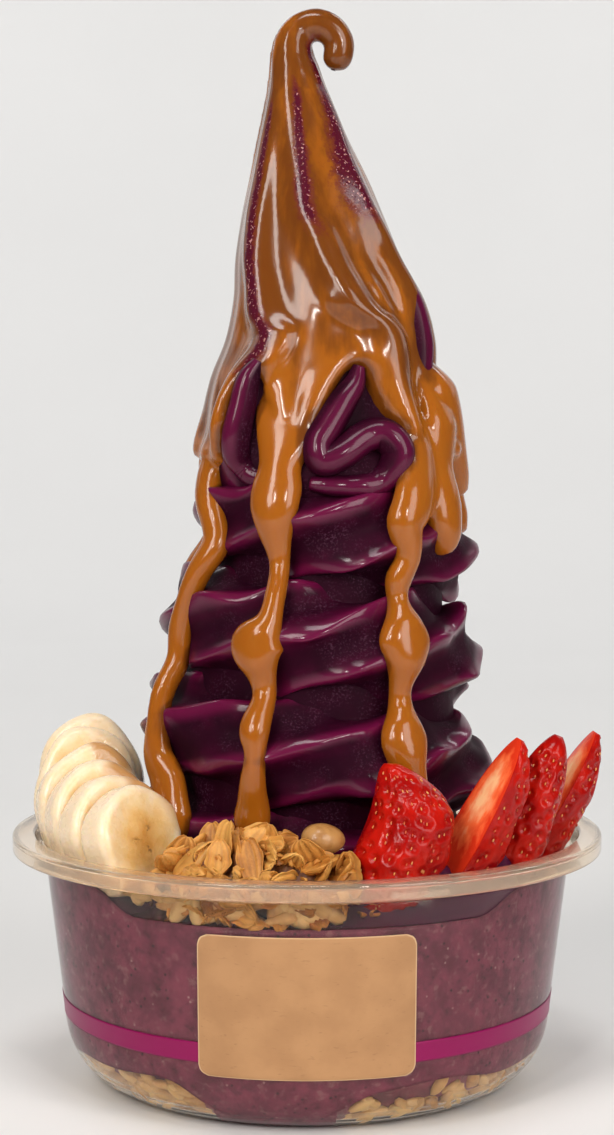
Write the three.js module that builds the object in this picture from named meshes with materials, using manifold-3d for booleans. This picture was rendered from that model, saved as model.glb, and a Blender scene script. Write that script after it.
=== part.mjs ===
// Acai soft serve cup. A clear round cup holds acai over a bed of granola. A tall piped swirl under
// caramel sauce stands on the acai among banana slices, halved strawberries and a heap of granola.
// Millimetres, +Z up. The origin is on the table under the cup's middle, and the label faces -Y.
import * as THREE from "three";
import { LoftGeometry } from "three/addons/geometries/LoftGeometry.js";
import { mergeVertices } from "three/addons/utils/BufferGeometryUtils.js";
import Module from "manifold-3d";

const wasm = await Module();
wasm.setup();

// Driving dimensions
const GAP = 0.3;
const FILL_GAP = 0.5;
const MERGE_DISTANCE = 1e-3;
const SEED = 20;

const CUP = {
  height: 49.5,
  rimRadius: 59,
  skirtDepth: 3.3,
  skirtThickness: 0.8,
  wall: 0.8,
  footRadius: 37,
  footInset: 4,
  baseLift: 1.2,
  cornerRise: 14.5,
  lowRadius: 48.8,
  highRadius: 52.5,
  shoulderZ: 44.5,
  shoulderWidth: 1.7,
  shoulderRise: 1,
  seatFlare: 0.4,
  sides: 40,
};

const LABEL = {
  width: 41,
  height: 27,
  middleZ: 25,
  corner: 2.2,
  thickness: 0.4,
  cornerSteps: 3,
  middleSteps: 8,
};

const BED = { edgeZ: 8.6, middleZ: 6.4, wave: 1.2, dipZ: 3, dipAngle: -98, dipFrom: 9, dipTo: 25 };

const ACAI = { level: 41, frontDip: 1.2, sideRise: 1.2, sides: 40, slopeFrom: 38, slopeTo: 50 };

const SWIRL = {
  centreX: 1.6,
  ropeRadius: 12,
  topRopeRadius: 11.3,
  pitch: 21.3,
  firstZ: 50.2,
  firstTurn: -0.75,
  lastTurn: 3.4,
  startAngle: 199.4,
  lobes: 6,
  sidesPerLobe: 3,
  lobeDepth: 0.24,
  twist: 7 / 6,
  stepsPerHalfTurn: 9,
  lean: 2.6,
  leanFromZ: 85,
  leanToZ: 108,
  coreSides: 20,
  tuckTurn: 0.03,
  tuckThickness: 0.7,
};

const PEAK = { rings: 24, sides: 18, ridges: 6, ridgeDepth: 0.12, ridgeTurn: 0.1 };

const DRIP = { fromZ: 132, depth: 2.9, sink: 1.6, ringStep: 6, sides: 6 };

const BANANA = { thickness: 4.5, bevel: 1.1, pathRadius: 44, sides: 16 };

const STRAWBERRY = {
  rings: 8,
  arcSteps: 9,
  blunt: 0.6,
  shoulder: 0.4,
  tipShare: 0.985,
  taperPower: 4,
  taperRound: 0.7,
  swellPower: 1.7,
};

const HEAP = {
  pathRadius: 44.4,
  fromAngle: -123,
  toAngle: -81,
  middleZ: 46.4,
  halfWidth: 6.4,
  halfHeight: 7.6,
  rings: 10,
  sides: 12,
  flakes: 15,
  tries: 170,
  lowestTurn: -25,
  highestTurn: 205,
  tumble: 1.1,
  flakeLength: 4.9,
  flakeWidth: 3.5,
  flakeThickness: 1,
};

const NUT = { length: 4, width: 3.3, height: 2.8, place: [3, -42, 54.6] };

// Small tools
const radians = THREE.MathUtils.degToRad;
const lerp = THREE.MathUtils.lerp;
const smoothstep = THREE.MathUtils.smoothstep;

// A repeatable run of numbers from 0 to 1.
function randomFrom(seed) {
  let state = seed;
  return () => {
    state = (state * 1664525 + 1013904223) % 4294967296;
    return state / 4294967296;
  };
}

// A closed geometry as a solid whose faces point out.
function solidOf(geometry) {
  const bare = new THREE.BufferGeometry();
  bare.setAttribute("position", geometry.getAttribute("position"));
  bare.setIndex(geometry.getIndex());
  const merged = mergeVertices(bare, MERGE_DISTANCE);
  const corners = merged.index.array;
  const triangles = [];
  for (let i = 0; i < corners.length; i += 3) {
    const [a, b, c] = corners.slice(i, i + 3);
    const collapsed = a === b || b === c || c === a;
    if (!collapsed) triangles.push([a, b, c]);
  }
  const build = (faces) => new wasm.Manifold(new wasm.Mesh({
    numProp: 3,
    vertProperties: merged.attributes.position.array,
    triVerts: Uint32Array.from(faces.flat()),
  }));
  const solid = build(triangles);
  return solid.volume() > 0 ? solid : build(triangles.map(([a, b, c]) => [a, c, b]));
}

// The outer body of a solid: hollows that joining sealed are filled, and loose scraps are dropped.
function outerBody(solid) {
  const bodies = solidOf(geometryOf(solid)).decompose();
  return bodies.reduce((best, part) => (part.volume() > best.volume() ? part : best));
}

// A solid's surface as a geometry.
function geometryOf(solid) {
  const { vertProperties, triVerts } = solid.getMesh();
  const geometry = new THREE.BufferGeometry();
  geometry.setAttribute("position", new THREE.BufferAttribute(vertProperties, 3));
  geometry.setIndex(new THREE.BufferAttribute(triVerts, 1));
  geometry.computeVertexNormals();
  return geometry;
}

// Twice the area of a ring of points, as a vector square to it.
function ringNormal(points) {
  const normal = new THREE.Vector3();
  points.forEach((point, i) => {
    const next = points[(i + 1) % points.length];
    normal.add(new THREE.Vector3().crossVectors(point, next));
  });
  return normal;
}

function ringMiddle(points) {
  return points.reduce((sum, point) => sum.add(point), new THREE.Vector3()).divideScalar(points.length);
}

// A loft through rings of points, which run the same way round as seen from its far end. Its ends are
// capped, or else its first and last rings each lie in one point.
function loftThrough(rings, capped = true) {
  const turned = rings.slice(1).reduce((sum, points, i) => {
    const step = ringMiddle(points).sub(ringMiddle(rings[i]));
    return sum + ringNormal(points).dot(step);
  }, 0);
  const sections = turned < 0 ? rings.map((points) => points.toReversed()) : rings;
  return new LoftGeometry(sections, { capStart: capped, capEnd: capped });
}

// A capped loft through count + 1 rings, each made by ringAt(0 to 1).
function loft(ringAt, count) {
  return loftThrough(Array.from({ length: count + 1 }, (_, i) => ringAt(i / count)));
}

// A ring of points, pointAt(angle), at even angles once round.
function ring(sides, pointAt) {
  return Array.from({ length: sides }, (_, i) => pointAt((i / sides) * Math.PI * 2));
}

function polar(radius, angle, z) {
  return new THREE.Vector3(radius * Math.cos(angle), radius * Math.sin(angle), z);
}

// A path turned about the Z axis; the path runs in radius and height.
function revolve(path, sides, arcDivisions) {
  return new THREE.LatheGeometry(path.getPoints(arcDivisions), sides).rotateX(Math.PI / 2);
}

// A mesh's solid in the whole object's frame, made from a geometry in the mesh's own frame.
function placedSolid(mesh, geometry) {
  mesh.updateWorldMatrix(true, false);
  return solidOf(geometry.applyMatrix4(mesh.matrixWorld));
}

function material(color, roughness, extra = {}) {
  return new THREE.MeshStandardMaterial({ color, roughness, metalness: 0, ...extra });
}

const MATERIALS = {
  clear: material(0xf2efec, 0.08, { transparent: true, opacity: 0.35 }),
  kraft: material(0xc29a6b, 0.85),
  acai: material(0x6d4763, 0.5),
  granola: material(0xb57b3c, 0.8),
  nut: material(0xd9a866, 0.5),
  banana: material(0xf0d98c, 0.55),
  strawberry: material(0xd22a1e, 0.3),
  swirl: material(0x3a1a33, 0.4),
};

const cupOfAcai = new THREE.Group();

function addNode(name, geometry, nodeMaterial, parent = cupOfAcai) {
  const mesh = new THREE.Mesh(geometry, nodeMaterial);
  mesh.name = name;
  parent.add(mesh);
  return mesh;
}

// Cup: the radius of the wall's outside at a height
function wallRadius(z) {
  if (z >= CUP.cornerRise) {
    const rise = (z - CUP.cornerRise) / (CUP.shoulderZ - CUP.cornerRise);
    return lerp(CUP.lowRadius, CUP.highRadius, rise);
  }
  const drop = 1 - z / CUP.cornerRise;
  return CUP.footRadius + (CUP.lowRadius - CUP.footRadius) * Math.sqrt(1 - drop * drop);
}

// The radius of the wall's inside at a height
function innerRadius(z) {
  if (z >= CUP.cornerRise) return wallRadius(z) - CUP.wall;
  const drop = (CUP.cornerRise - z) / (CUP.cornerRise - CUP.wall);
  const reach = CUP.lowRadius - CUP.wall - CUP.footRadius;
  return CUP.footRadius + reach * Math.sqrt(Math.max(0, 1 - drop * drop));
}

function cupGeometry() {
  const { wall, footRadius, footInset, baseLift, cornerRise, lowRadius, highRadius } = CUP;
  const seatRadius = highRadius + CUP.shoulderWidth;
  const seatZ = CUP.shoulderZ + CUP.shoulderRise;
  const skirtZ = CUP.height - CUP.skirtDepth;
  const skirtInside = CUP.rimRadius - CUP.skirtThickness;
  const flangeZ = CUP.height - wall;
  const reach = lowRadius - footRadius;
  const path = new THREE.Path();
  path.moveTo(0, baseLift);
  path.lineTo(footRadius - footInset - baseLift, baseLift);
  path.lineTo(footRadius - footInset, 0);
  path.lineTo(footRadius, 0);
  path.absellipse(footRadius, cornerRise, reach, cornerRise, -Math.PI / 2, 0, false);
  path.lineTo(highRadius, CUP.shoulderZ);
  path.lineTo(seatRadius, seatZ);
  path.lineTo(seatRadius + CUP.seatFlare, flangeZ);
  path.lineTo(skirtInside, flangeZ);
  path.lineTo(skirtInside, skirtZ);
  path.lineTo(CUP.rimRadius, skirtZ);
  path.lineTo(CUP.rimRadius, CUP.height - wall / 2);
  path.lineTo(CUP.rimRadius - wall / 2, CUP.height);
  path.lineTo(seatRadius + CUP.seatFlare, CUP.height);
  path.lineTo(seatRadius - wall, seatZ + wall / 2);
  path.lineTo(highRadius - wall, CUP.shoulderZ + wall / 2);
  path.lineTo(lowRadius - wall, cornerRise);
  path.absellipse(footRadius, cornerRise, reach - wall, cornerRise - wall, 0, -Math.PI / 2, true);
  path.lineTo(footRadius - footInset + wall / 2, wall);
  path.lineTo(footRadius - footInset - baseLift + wall / 2, baseLift + wall);
  path.lineTo(0, baseLift + wall);
  return revolve(path, CUP.sides, 2);
}

// Label: columns of four corners across its width, shorter where its corners are rounded
function labelGeometry() {
  const { width, height, middleZ, corner, thickness } = LABEL;
  const columns = [];
  for (let i = 0; i <= LABEL.cornerSteps; i += 1) {
    const turn = (i / LABEL.cornerSteps) * (Math.PI / 2);
    columns.push([-width / 2 + corner * (1 - Math.cos(turn)), height / 2 - corner * (1 - Math.sin(turn))]);
  }
  for (let i = 1; i < LABEL.middleSteps; i += 1) {
    columns.push([lerp(-width / 2 + corner, width / 2 - corner, i / LABEL.middleSteps), height / 2]);
  }
  for (let i = LABEL.cornerSteps; i >= 0; i -= 1) {
    const [x, halfHeight] = columns[i];
    columns.push([-x, halfHeight]);
  }
  const sections = columns.map(([along, halfHeight]) => {
    const point = (z, out) => {
      const radius = wallRadius(z) + GAP + out;
      return polar(radius, -Math.PI / 2 + along / wallRadius(middleZ), z);
    };
    return [
      point(middleZ - halfHeight, thickness),
      point(middleZ + halfHeight, thickness),
      point(middleZ + halfHeight, 0),
      point(middleZ - halfHeight, 0),
    ];
  });
  return loftThrough(sections);
}

// Granola bed: its top is uneven and dips at the front, where acai reaches the floor of the cup
function bedTop(radius, angle) {
  const towardWall = smoothstep(radius, 20, 46);
  const ripple = Math.sin(3 * angle + 1) * 0.6 + Math.sin(7 * angle + radius / 6) * 0.4;
  const heaped = lerp(BED.middleZ, BED.edgeZ, towardWall) + BED.wave * smoothstep(radius, 0, 20) * ripple;
  const fromDip = Math.abs(THREE.MathUtils.euclideanModulo(
    THREE.MathUtils.radToDeg(angle) - BED.dipAngle + 180, 360) - 180);
  const dip = (1 - smoothstep(fromDip, BED.dipFrom, BED.dipTo)) * towardWall;
  return lerp(heaped, BED.dipZ, dip);
}

// The height at which the bed's top meets the wall
function bedEdge(angle) {
  return bedTop(wallRadius(BED.edgeZ), angle);
}

const FLOOR_RINGS = [0, 30];
const TOP_RINGS = [0, 12, 24, 34, 40];

// A layer of the filling: rows of points round the axis, from its middle below to its middle above
function layer(rows) {
  return loftThrough(rows.map((pointAt) => ring(ACAI.sides, pointAt)), false);
}

function granolaBedGeometry() {
  const floorZ = CUP.baseLift + CUP.wall + GAP;
  const rows = FLOOR_RINGS.map((radius) => (angle) => polar(radius, angle, floorZ));
  for (const share of [0, 0.25, 0.6, 1]) {
    rows.push((angle) => {
      const z = lerp(floorZ, bedEdge(angle), share);
      return polar(innerRadius(z) - FILL_GAP, angle, z);
    });
  }
  for (const radius of TOP_RINGS.toReversed()) {
    rows.push((angle) => polar(radius, angle, bedTop(radius, angle)));
  }
  return layer(rows);
}

// Acai: the level at the wall is a little lower at the front and higher at the sides
function acaiLevel(radius, angle) {
  const towardWall = smoothstep(radius, ACAI.slopeFrom, ACAI.slopeTo);
  const front = -Math.sin(angle);
  const lift = lerp(ACAI.sideRise, -ACAI.frontDip, smoothstep(front, 0.3, 0.95));
  return ACAI.level + lift * towardWall;
}

function acaiGeometry() {
  const rows = TOP_RINGS.map((radius) => (angle) => polar(radius, angle, bedTop(radius, angle) + 2 * GAP));
  for (const share of [0, 0.1, 0.22, 0.6, 1]) {
    rows.push((angle) => {
      const z = lerp(bedEdge(angle) + 2 * GAP, acaiLevel(wallRadius(ACAI.level), angle), share);
      return polar(innerRadius(z) - FILL_GAP, angle, z);
    });
  }
  for (const radius of [44, 37, 18, 0]) {
    rows.push((angle) => polar(radius, angle, acaiLevel(radius, angle)));
  }
  return layer(rows);
}

// Swirl: the reach of its ridges from its own axis at a height
const SWIRL_OUTLINE = [[41, 35.5], [66, 35.4], [80, 34.4], [95, 31.4], [108, 29.4], [126, 25]];

function swirlRadius(z) {
  const above = SWIRL_OUTLINE.findIndex(([height]) => height > z);
  if (above < 1) return (above < 0 ? SWIRL_OUTLINE.at(-1) : SWIRL_OUTLINE[0])[1];
  const [lowZ, lowRadius] = SWIRL_OUTLINE[above - 1];
  const [highZ, highRadius] = SWIRL_OUTLINE[above];
  return lerp(lowRadius, highRadius, (z - lowZ) / (highZ - lowZ));
}

// A point about the swirl's axis, which leans over towards +X as it rises
function aboutSwirl(radius, angle, z, axisZ = z) {
  const point = polar(radius, angle, z);
  point.x += SWIRL.lean * smoothstep(axisZ, SWIRL.leanFromZ, SWIRL.leanToZ);
  return point;
}

// One section of the piped rope: a star whose ridges turn as the rope winds up and to the left
function ropeRing(turn, thickness = 1) {
  const angle = radians(SWIRL.startAngle) - turn * Math.PI * 2;
  const z = SWIRL.firstZ + turn * SWIRL.pitch;
  const rise = smoothstep(turn, 1.5, SWIRL.lastTurn);
  const full = lerp(SWIRL.ropeRadius, SWIRL.topRopeRadius, rise);
  const centre = swirlRadius(z) - full;
  const rope = full * thickness;
  const spin = -SWIRL.twist * turn * Math.PI * 2;
  return ring(SWIRL.lobes * SWIRL.sidesPerLobe, (around) => {
    const valley = Math.abs(Math.sin((around * SWIRL.lobes) / 2));
    const reach = rope * (1 - SWIRL.lobeDepth * valley);
    const out = centre + reach * Math.cos(around + spin);
    return aboutSwirl(out, angle, z + reach * Math.sin(around + spin), z);
  });
}

// The rope in half turns, so that no piece crosses itself; each tucks its end into the next
function ropeSolids() {
  const solids = [];
  const { stepsPerHalfTurn, tuckTurn, tuckThickness } = SWIRL;
  for (let turn = SWIRL.firstTurn; turn < SWIRL.lastTurn; turn += 0.5) {
    const end = Math.min(turn + 0.5, SWIRL.lastTurn);
    const shares = Array.from({ length: stepsPerHalfTurn + 1 }, (_, i) => i / stepsPerHalfTurn);
    const rings = shares.map((share) => ropeRing(lerp(turn, end, share)));
    rings.push(ropeRing(end + tuckTurn, tuckThickness));
    solids.push(solidOf(loftThrough(rings)));
  }
  return solids;
}

// The filling inside the coils
function swirlCore() {
  const path = new THREE.Path();
  const bottomZ = SWIRL.firstZ - SWIRL.pitch / 2;
  path.moveTo(0, bottomZ);
  path.lineTo(swirlRadius(bottomZ) - SWIRL.ropeRadius, bottomZ);
  for (const [z, radius] of SWIRL_OUTLINE.slice(1)) {
    path.lineTo(radius - SWIRL.ropeRadius, z);
  }
  path.lineTo(0, SWIRL_OUTLINE.at(-1)[0] + SWIRL.ropeRadius / 2);
  return solidOf(revolve(path, SWIRL.coreSides, 1));
}

// Peak: a pulled cone that ends in a curl, in the plane of its axis; x, z and radius at each station
const PEAK_STATIONS = [
  [2.4, 112, 23], [2.2, 120, 26], [0.4, 131, 24.3], [0.5, 139.3, 22.8], [2.2, 147.2, 21.4],
  [2.1, 155.2, 19.7], [0.3, 163, 17.5], [-0.7, 171, 15.2], [-1.4, 178.8, 12.5], [-2.5, 186.7, 9.5],
  [-3.2, 193.5, 7.2], [-4, 199.2, 5.4], [-4.5, 202.7, 4.4], [-4.3, 205.9, 3.8], [-2.9, 208.3, 3.2],
  [0.2, 209.4, 2.8], [3, 208.4, 2.6], [4.7, 205.9, 2.5], [4.6, 203.2, 2.4], [3.6, 201, 1.3],
];

function peakSolid() {
  const spine = new THREE.CatmullRomCurve3(PEAK_STATIONS.map(([x, z]) => new THREE.Vector3(x, 0, z)));
  const reach = new THREE.SplineCurve(PEAK_STATIONS.map(([, , r], i) => new THREE.Vector2(i, r)));
  const across = new THREE.Vector3(0, 1, 0);
  const ringAt = (share) => {
    const centre = spine.getPoint(share);
    const side = new THREE.Vector3().crossVectors(across, spine.getTangent(share));
    const radius = reach.getPoint(share).y;
    const turn = PEAK.ridgeTurn * share * Math.PI * 2;
    return ring(PEAK.sides, (angle) => {
      const valley = Math.abs(Math.sin((angle * PEAK.ridges) / 2));
      const out = radius * (1 - PEAK.ridgeDepth * valley);
      return centre.clone()
        .addScaledVector(side, out * Math.cos(angle + turn))
        .addScaledVector(across, out * Math.sin(angle + turn));
    });
  };
  return solidOf(loft(ringAt, PEAK.rings));
}

// Sauce drips: where each ends in height, its angle about the swirl there and at its start, half width
const DRIPS = [
  { to: 54, start: -103, end: -111, halfWidth: 3.8 },
  { to: 60, start: -42, end: -60, halfWidth: 3.8 },
  { to: 60, start: -148, end: -158, halfWidth: 2.6 },
  { to: 115, start: -16, end: -5, halfWidth: 4.2 },
  { to: 105, start: -26, end: -32, halfWidth: 4 },
  { to: 107, start: 18, end: 15, halfWidth: 4 },
  { to: 70, start: 58, end: 63, halfWidth: 4 },
  { to: 89, start: 104, end: 98, halfWidth: 3.8 },
  { to: 65, start: 150, end: 140, halfWidth: 4 },
];

// A drip follows the ridges down; it comes out of the coat at its top and is rounded at its foot
function dripSolid({ to, start, end, halfWidth }) {
  const { fromZ, depth, sink, ringStep, sides } = DRIP;
  const ringAt = (share) => {
    const z = lerp(fromZ, to, share);
    const angle = radians(lerp(start, end, smoothstep(share, 0, 1)));
    const foot = Math.sqrt(Math.max(0.12, 1 - smoothstep(share, 0.86, 1)));
    const thick = depth * foot * lerp(0.15, 1, smoothstep(share, 0, 0.2));
    const wide = halfWidth * foot * (1 + 0.22 * Math.cos(share * Math.PI * 4));
    const out = new THREE.Vector3(Math.cos(angle), Math.sin(angle), 0);
    const sideways = new THREE.Vector3(-Math.sin(angle), Math.cos(angle), 0);
    const centre = aboutSwirl(swirlRadius(z) - sink, angle, z);
    return ring(sides, (around) => centre.clone()
      .addScaledVector(sideways, wide * Math.cos(around))
      .addScaledVector(out, thick * Math.sin(around)));
  };
  return solidOf(loft(ringAt, Math.ceil((fromZ - to) / ringStep)));
}

function swirlSolid() {
  const parts = [swirlCore(), ...ropeSolids(), peakSolid(), ...DRIPS.map(dripSolid)];
  const whole = parts.reduce((sum, part) => sum.add(part));
  const footZ = ACAI.level + GAP;
  const below = new THREE.BoxGeometry(CUP.rimRadius * 2, CUP.rimRadius * 2, footZ * 2);
  return outerBody(whole.subtract(solidOf(below)));
}

// Banana: slices stand one behind the other along the left of the cup, from the front to the back
const BANANA_SLICES = [
  { angle: -138, z: 51.8, width: 20, height: 21 },
  { angle: -147, z: 52.6, width: 20.4, height: 21.6 },
  { angle: -156, z: 53.6, width: 20.8, height: 23 },
  { angle: -165, z: 54.8, width: 21, height: 25 },
  { angle: -174, z: 56.4, width: 21, height: 27.6 },
  { angle: -183, z: 57.4, width: 21, height: 29 },
];
const BANANA_LEAN = 14;

// A slice across the fruit: its axis is +Z, its width along X and its height along Y
function bananaGeometry({ width, height }, grow = 0) {
  const { bevel } = BANANA;
  const half = BANANA.thickness / 2 + grow;
  const radius = width / 2 + grow;
  const path = new THREE.Path();
  path.moveTo(0, -half);
  path.lineTo(radius - bevel, -half);
  path.lineTo(radius, bevel - half);
  path.lineTo(radius, half - bevel);
  path.lineTo(radius - bevel, half);
  path.lineTo(0, half);
  return revolve(path, BANANA.sides, 1).scale(1, height / width, 1);
}

// Strawberry halves: where the broad end sits, where the tip points, where the cut face looks, and how
// far the half swells to one side
const STRAWBERRY_HALVES = [
  {
    base: [13.8, -38.5, 40],
    tip: [0.06, -0.02, 1],
    cut: [-0.15, 0.97, 0.1],
    size: [28.2, 18, 9],
    swell: -4.3,
  },
  {
    base: [22, -33.2, 40],
    tip: [0.49, 0.06, 0.87],
    cut: [-0.79, -0.45, 0.42],
    size: [36.4, 11.5, 9],
    swell: 0,
  },
  {
    base: [35.6, -21.6, 40],
    tip: [0.38, 0.02, 0.92],
    cut: [-0.25, 1, 0],
    size: [33.4, 11.5, 6.6],
    swell: 0,
  },
  {
    base: [38.7, -9, 40],
    tip: [0.52, 0.01, 0.86],
    cut: [-0.79, -0.26, 0.55],
    size: [35, 11, 7.5],
    swell: 0,
  },
];

// Half a berry on its cut face: length along +Z from the broad end, skin towards +Y
function strawberryGeometry({ size: [length, width, depth], swell }, grow = 0) {
  const { rings, arcSteps, blunt, shoulder, tipShare, taperPower, taperRound, swellPower } = STRAWBERRY;
  const ringAt = (share) => {
    const taper = (1 - (share * tipShare) ** taperPower) ** taperRound;
    const broad = blunt + (1 - blunt) * Math.sqrt(Math.min(1, share / shoulder));
    const aside = swell * Math.sin(Math.PI * share ** swellPower);
    const z = share * (length + 2 * grow) - grow;
    return Array.from({ length: arcSteps }, (_, i) => {
      const angle = (i / (arcSteps - 1)) * Math.PI;
      const x = (width / 2) * taper * broad + grow;
      const y = depth * taper * broad + 2 * grow;
      return new THREE.Vector3(aside + x * Math.cos(angle), y * Math.sin(angle) - grow, z);
    });
  };
  return loft(ringAt, rings);
}

function strawberryTurn({ tip, cut }) {
  const along = new THREE.Vector3(...tip).normalize();
  const faceOut = new THREE.Vector3(...cut);
  const skin = faceOut.addScaledVector(along, -faceOut.dot(along)).normalize().negate();
  const across = new THREE.Vector3().crossVectors(skin, along);
  return new THREE.Matrix4().makeBasis(across, skin, along);
}

// Granola heap: a rounded bank between the swirl and the wall, with oat flakes fused on
function heapCore(grow = 0) {
  return loft((share) => {
    const angle = radians(lerp(HEAP.fromAngle, HEAP.toAngle, share));
    const fullness = 0.35 + 0.65 * Math.sqrt(Math.sin(Math.PI * lerp(0.06, 0.94, share)));
    return ring(HEAP.sides, (around) => {
      const out = HEAP.pathRadius + (HEAP.halfWidth * fullness + grow) * Math.cos(around);
      const z = HEAP.middleZ + (HEAP.halfHeight * fullness + grow) * Math.sin(around);
      return polar(Math.min(out, innerRadius(z) - GAP + grow), angle, z);
    });
  }, HEAP.rings);
}

function flakeGeometry(draw, grow = 0) {
  const size = lerp(0.75, 1.15, draw());
  const flake = new THREE.SphereGeometry(1, 6, 3);
  const half = [HEAP.flakeLength, HEAP.flakeWidth, HEAP.flakeThickness].map((side) => side * size + grow);
  return flake.scale(...half);
}

// Flakes lie at random on the upper side of the bank; one that would meet a neighbour is left out
function heapSolid(neighbours) {
  const draw = randomFrom(SEED);
  let heap = solidOf(heapCore());
  let laid = 0;
  for (let i = 0; i < HEAP.tries && laid < HEAP.flakes; i += 1) {
    const angle = radians(lerp(HEAP.fromAngle, HEAP.toAngle, ((laid + draw()) / HEAP.flakes)));
    const around = radians(lerp(HEAP.lowestTurn, HEAP.highestTurn, draw()));
    const place = polar(
      HEAP.pathRadius + HEAP.halfWidth * Math.cos(around), angle,
      HEAP.middleZ + HEAP.halfHeight * Math.sin(around));
    const outward = polar(Math.cos(around), angle, Math.sin(around));
    const tilt = new THREE.Vector3(draw() - 0.5, draw() - 0.5, draw() - 0.5).multiplyScalar(HEAP.tumble);
    const turn = new THREE.Quaternion()
      .setFromUnitVectors(new THREE.Vector3(0, 0, 1), outward.add(tilt).normalize())
      .multiply(new THREE.Quaternion().setFromAxisAngle(new THREE.Vector3(0, 0, 1), draw() * Math.PI));
    const matrix = new THREE.Matrix4().compose(place, turn, new THREE.Vector3(1, 1, 1));
    const flakeSeed = Math.floor(draw() * 1e6);
    const room = solidOf(flakeGeometry(randomFrom(flakeSeed), GAP).applyMatrix4(matrix));
    const meets = neighbours.some((neighbour) => !room.intersect(neighbour).isEmpty());
    if (!meets) {
      heap = heap.add(solidOf(flakeGeometry(randomFrom(flakeSeed)).applyMatrix4(matrix)));
      laid += 1;
    }
  }
  return heap;
}

// Assembly
const cup = addNode("cup", geometryOf(solidOf(cupGeometry())), MATERIALS.clear);
addNode("label", geometryOf(solidOf(labelGeometry())), MATERIALS.kraft);
addNode("granola_bed", geometryOf(solidOf(granolaBedGeometry())), MATERIALS.granola);

const swirl = addNode("soft_serve_swirl", geometryOf(swirlSolid()), MATERIALS.swirl);
swirl.position.x = SWIRL.centreX;

const toppings = new THREE.Group();
cupOfAcai.add(toppings);
const toppingRooms = [];

BANANA_SLICES.forEach((slice, i) => {
  const geometry = geometryOf(solidOf(bananaGeometry(slice)));
  const mesh = addNode(`banana_slice_${i + 1}`, geometry, MATERIALS.banana, toppings);
  mesh.position.copy(polar(BANANA.pathRadius, radians(slice.angle), slice.z));
  mesh.rotation.set(-radians(90 - BANANA_LEAN), 0, radians(slice.angle), "ZXY");
  toppingRooms.push(placedSolid(mesh, bananaGeometry(slice, GAP)));
});

STRAWBERRY_HALVES.forEach((half, i) => {
  const geometry = geometryOf(solidOf(strawberryGeometry(half)));
  const berry = addNode(`strawberry_${i + 1}`, geometry, MATERIALS.strawberry, toppings);
  berry.position.set(...half.base);
  berry.setRotationFromMatrix(strawberryTurn(half));
  toppingRooms.push(placedSolid(berry, strawberryGeometry(half, GAP)));
});

function nutGeometry(grow = 0) {
  const half = [NUT.length, NUT.width, NUT.height].map((side) => side + grow);
  return new THREE.SphereGeometry(1, 10, 7).scale(...half);
}

const nut = addNode("nut", geometryOf(solidOf(nutGeometry())), MATERIALS.nut, toppings);
nut.position.set(...NUT.place);
nut.rotation.set(0.3, 0.2, 0.35);
toppingRooms.push(placedSolid(nut, nutGeometry(GAP)));

// The acai is hollowed where the heap and the fruit sink into it, and the heap where the fruit stands
const sunk = [solidOf(heapCore(GAP)), ...toppingRooms];
const acai = sunk.reduce((rest, room) => rest.subtract(room), solidOf(acaiGeometry()));
addNode("acai_filling", geometryOf(outerBody(acai)), MATERIALS.acai);

const heapNeighbours = [
  placedSolid(cup, cup.geometry.clone()),
  placedSolid(swirl, swirl.geometry.clone()),
  acai,
  ...toppingRooms,
];
const heap = toppingRooms.reduce((rest, room) => rest.subtract(room), heapSolid(heapNeighbours));
addNode("granola_heap", geometryOf(outerBody(heap)), MATERIALS.granola);

export default cupOfAcai;
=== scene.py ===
"""Acai soft serve cup: its looks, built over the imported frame.

Sizes are in millimetres until a mesh is made. +Z is up and the front of the cup faces -Y.
"""

import logging
import math
from dataclasses import dataclass, field
from enum import Enum
from typing import Protocol, Sequence

import bpy
import numpy as np
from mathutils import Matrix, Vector
from numpy.typing import NDArray


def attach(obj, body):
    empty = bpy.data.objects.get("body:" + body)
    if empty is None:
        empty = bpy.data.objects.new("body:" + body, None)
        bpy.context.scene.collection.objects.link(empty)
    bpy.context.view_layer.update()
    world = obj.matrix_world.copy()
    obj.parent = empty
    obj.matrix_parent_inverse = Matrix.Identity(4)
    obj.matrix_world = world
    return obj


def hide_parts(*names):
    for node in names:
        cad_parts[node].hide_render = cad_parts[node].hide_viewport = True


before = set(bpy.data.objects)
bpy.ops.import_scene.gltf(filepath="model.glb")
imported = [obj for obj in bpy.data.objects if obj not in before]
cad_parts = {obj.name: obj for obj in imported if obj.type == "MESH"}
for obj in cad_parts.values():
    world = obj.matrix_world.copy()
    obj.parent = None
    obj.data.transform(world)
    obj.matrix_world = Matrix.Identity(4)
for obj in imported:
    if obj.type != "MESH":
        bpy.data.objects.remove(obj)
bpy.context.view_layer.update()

Array = NDArray[np.float64]
Index = NDArray[np.int64]
Pair = tuple[float, float]
Triple = tuple[float, float, float]
Pairs = tuple[Pair, ...]
Triples = tuple[Triple, ...]
Colour = Triple
Material = bpy.types.Material
Piece = bpy.types.Object
Socket = bpy.types.NodeSocket
Value = Socket | float | Sequence[float]

MM = 0.001
TURN = 2 * math.pi
BODY = "root"
LOG = logging.getLogger("acai_cup")
NO_TRIS = np.empty((0, 3), dtype=np.int64)


class Slot(Enum):
    """Material slots of the record."""

    PLASTIC = "clear_plastic"
    PAPER = "kraft_paper"
    GRANOLA = "granola"
    ACAI = "acai"
    SWIRL = "swirl"
    BANANA = "banana"
    STRAWBERRY = "strawberry"
    NUT = "nut"


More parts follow.
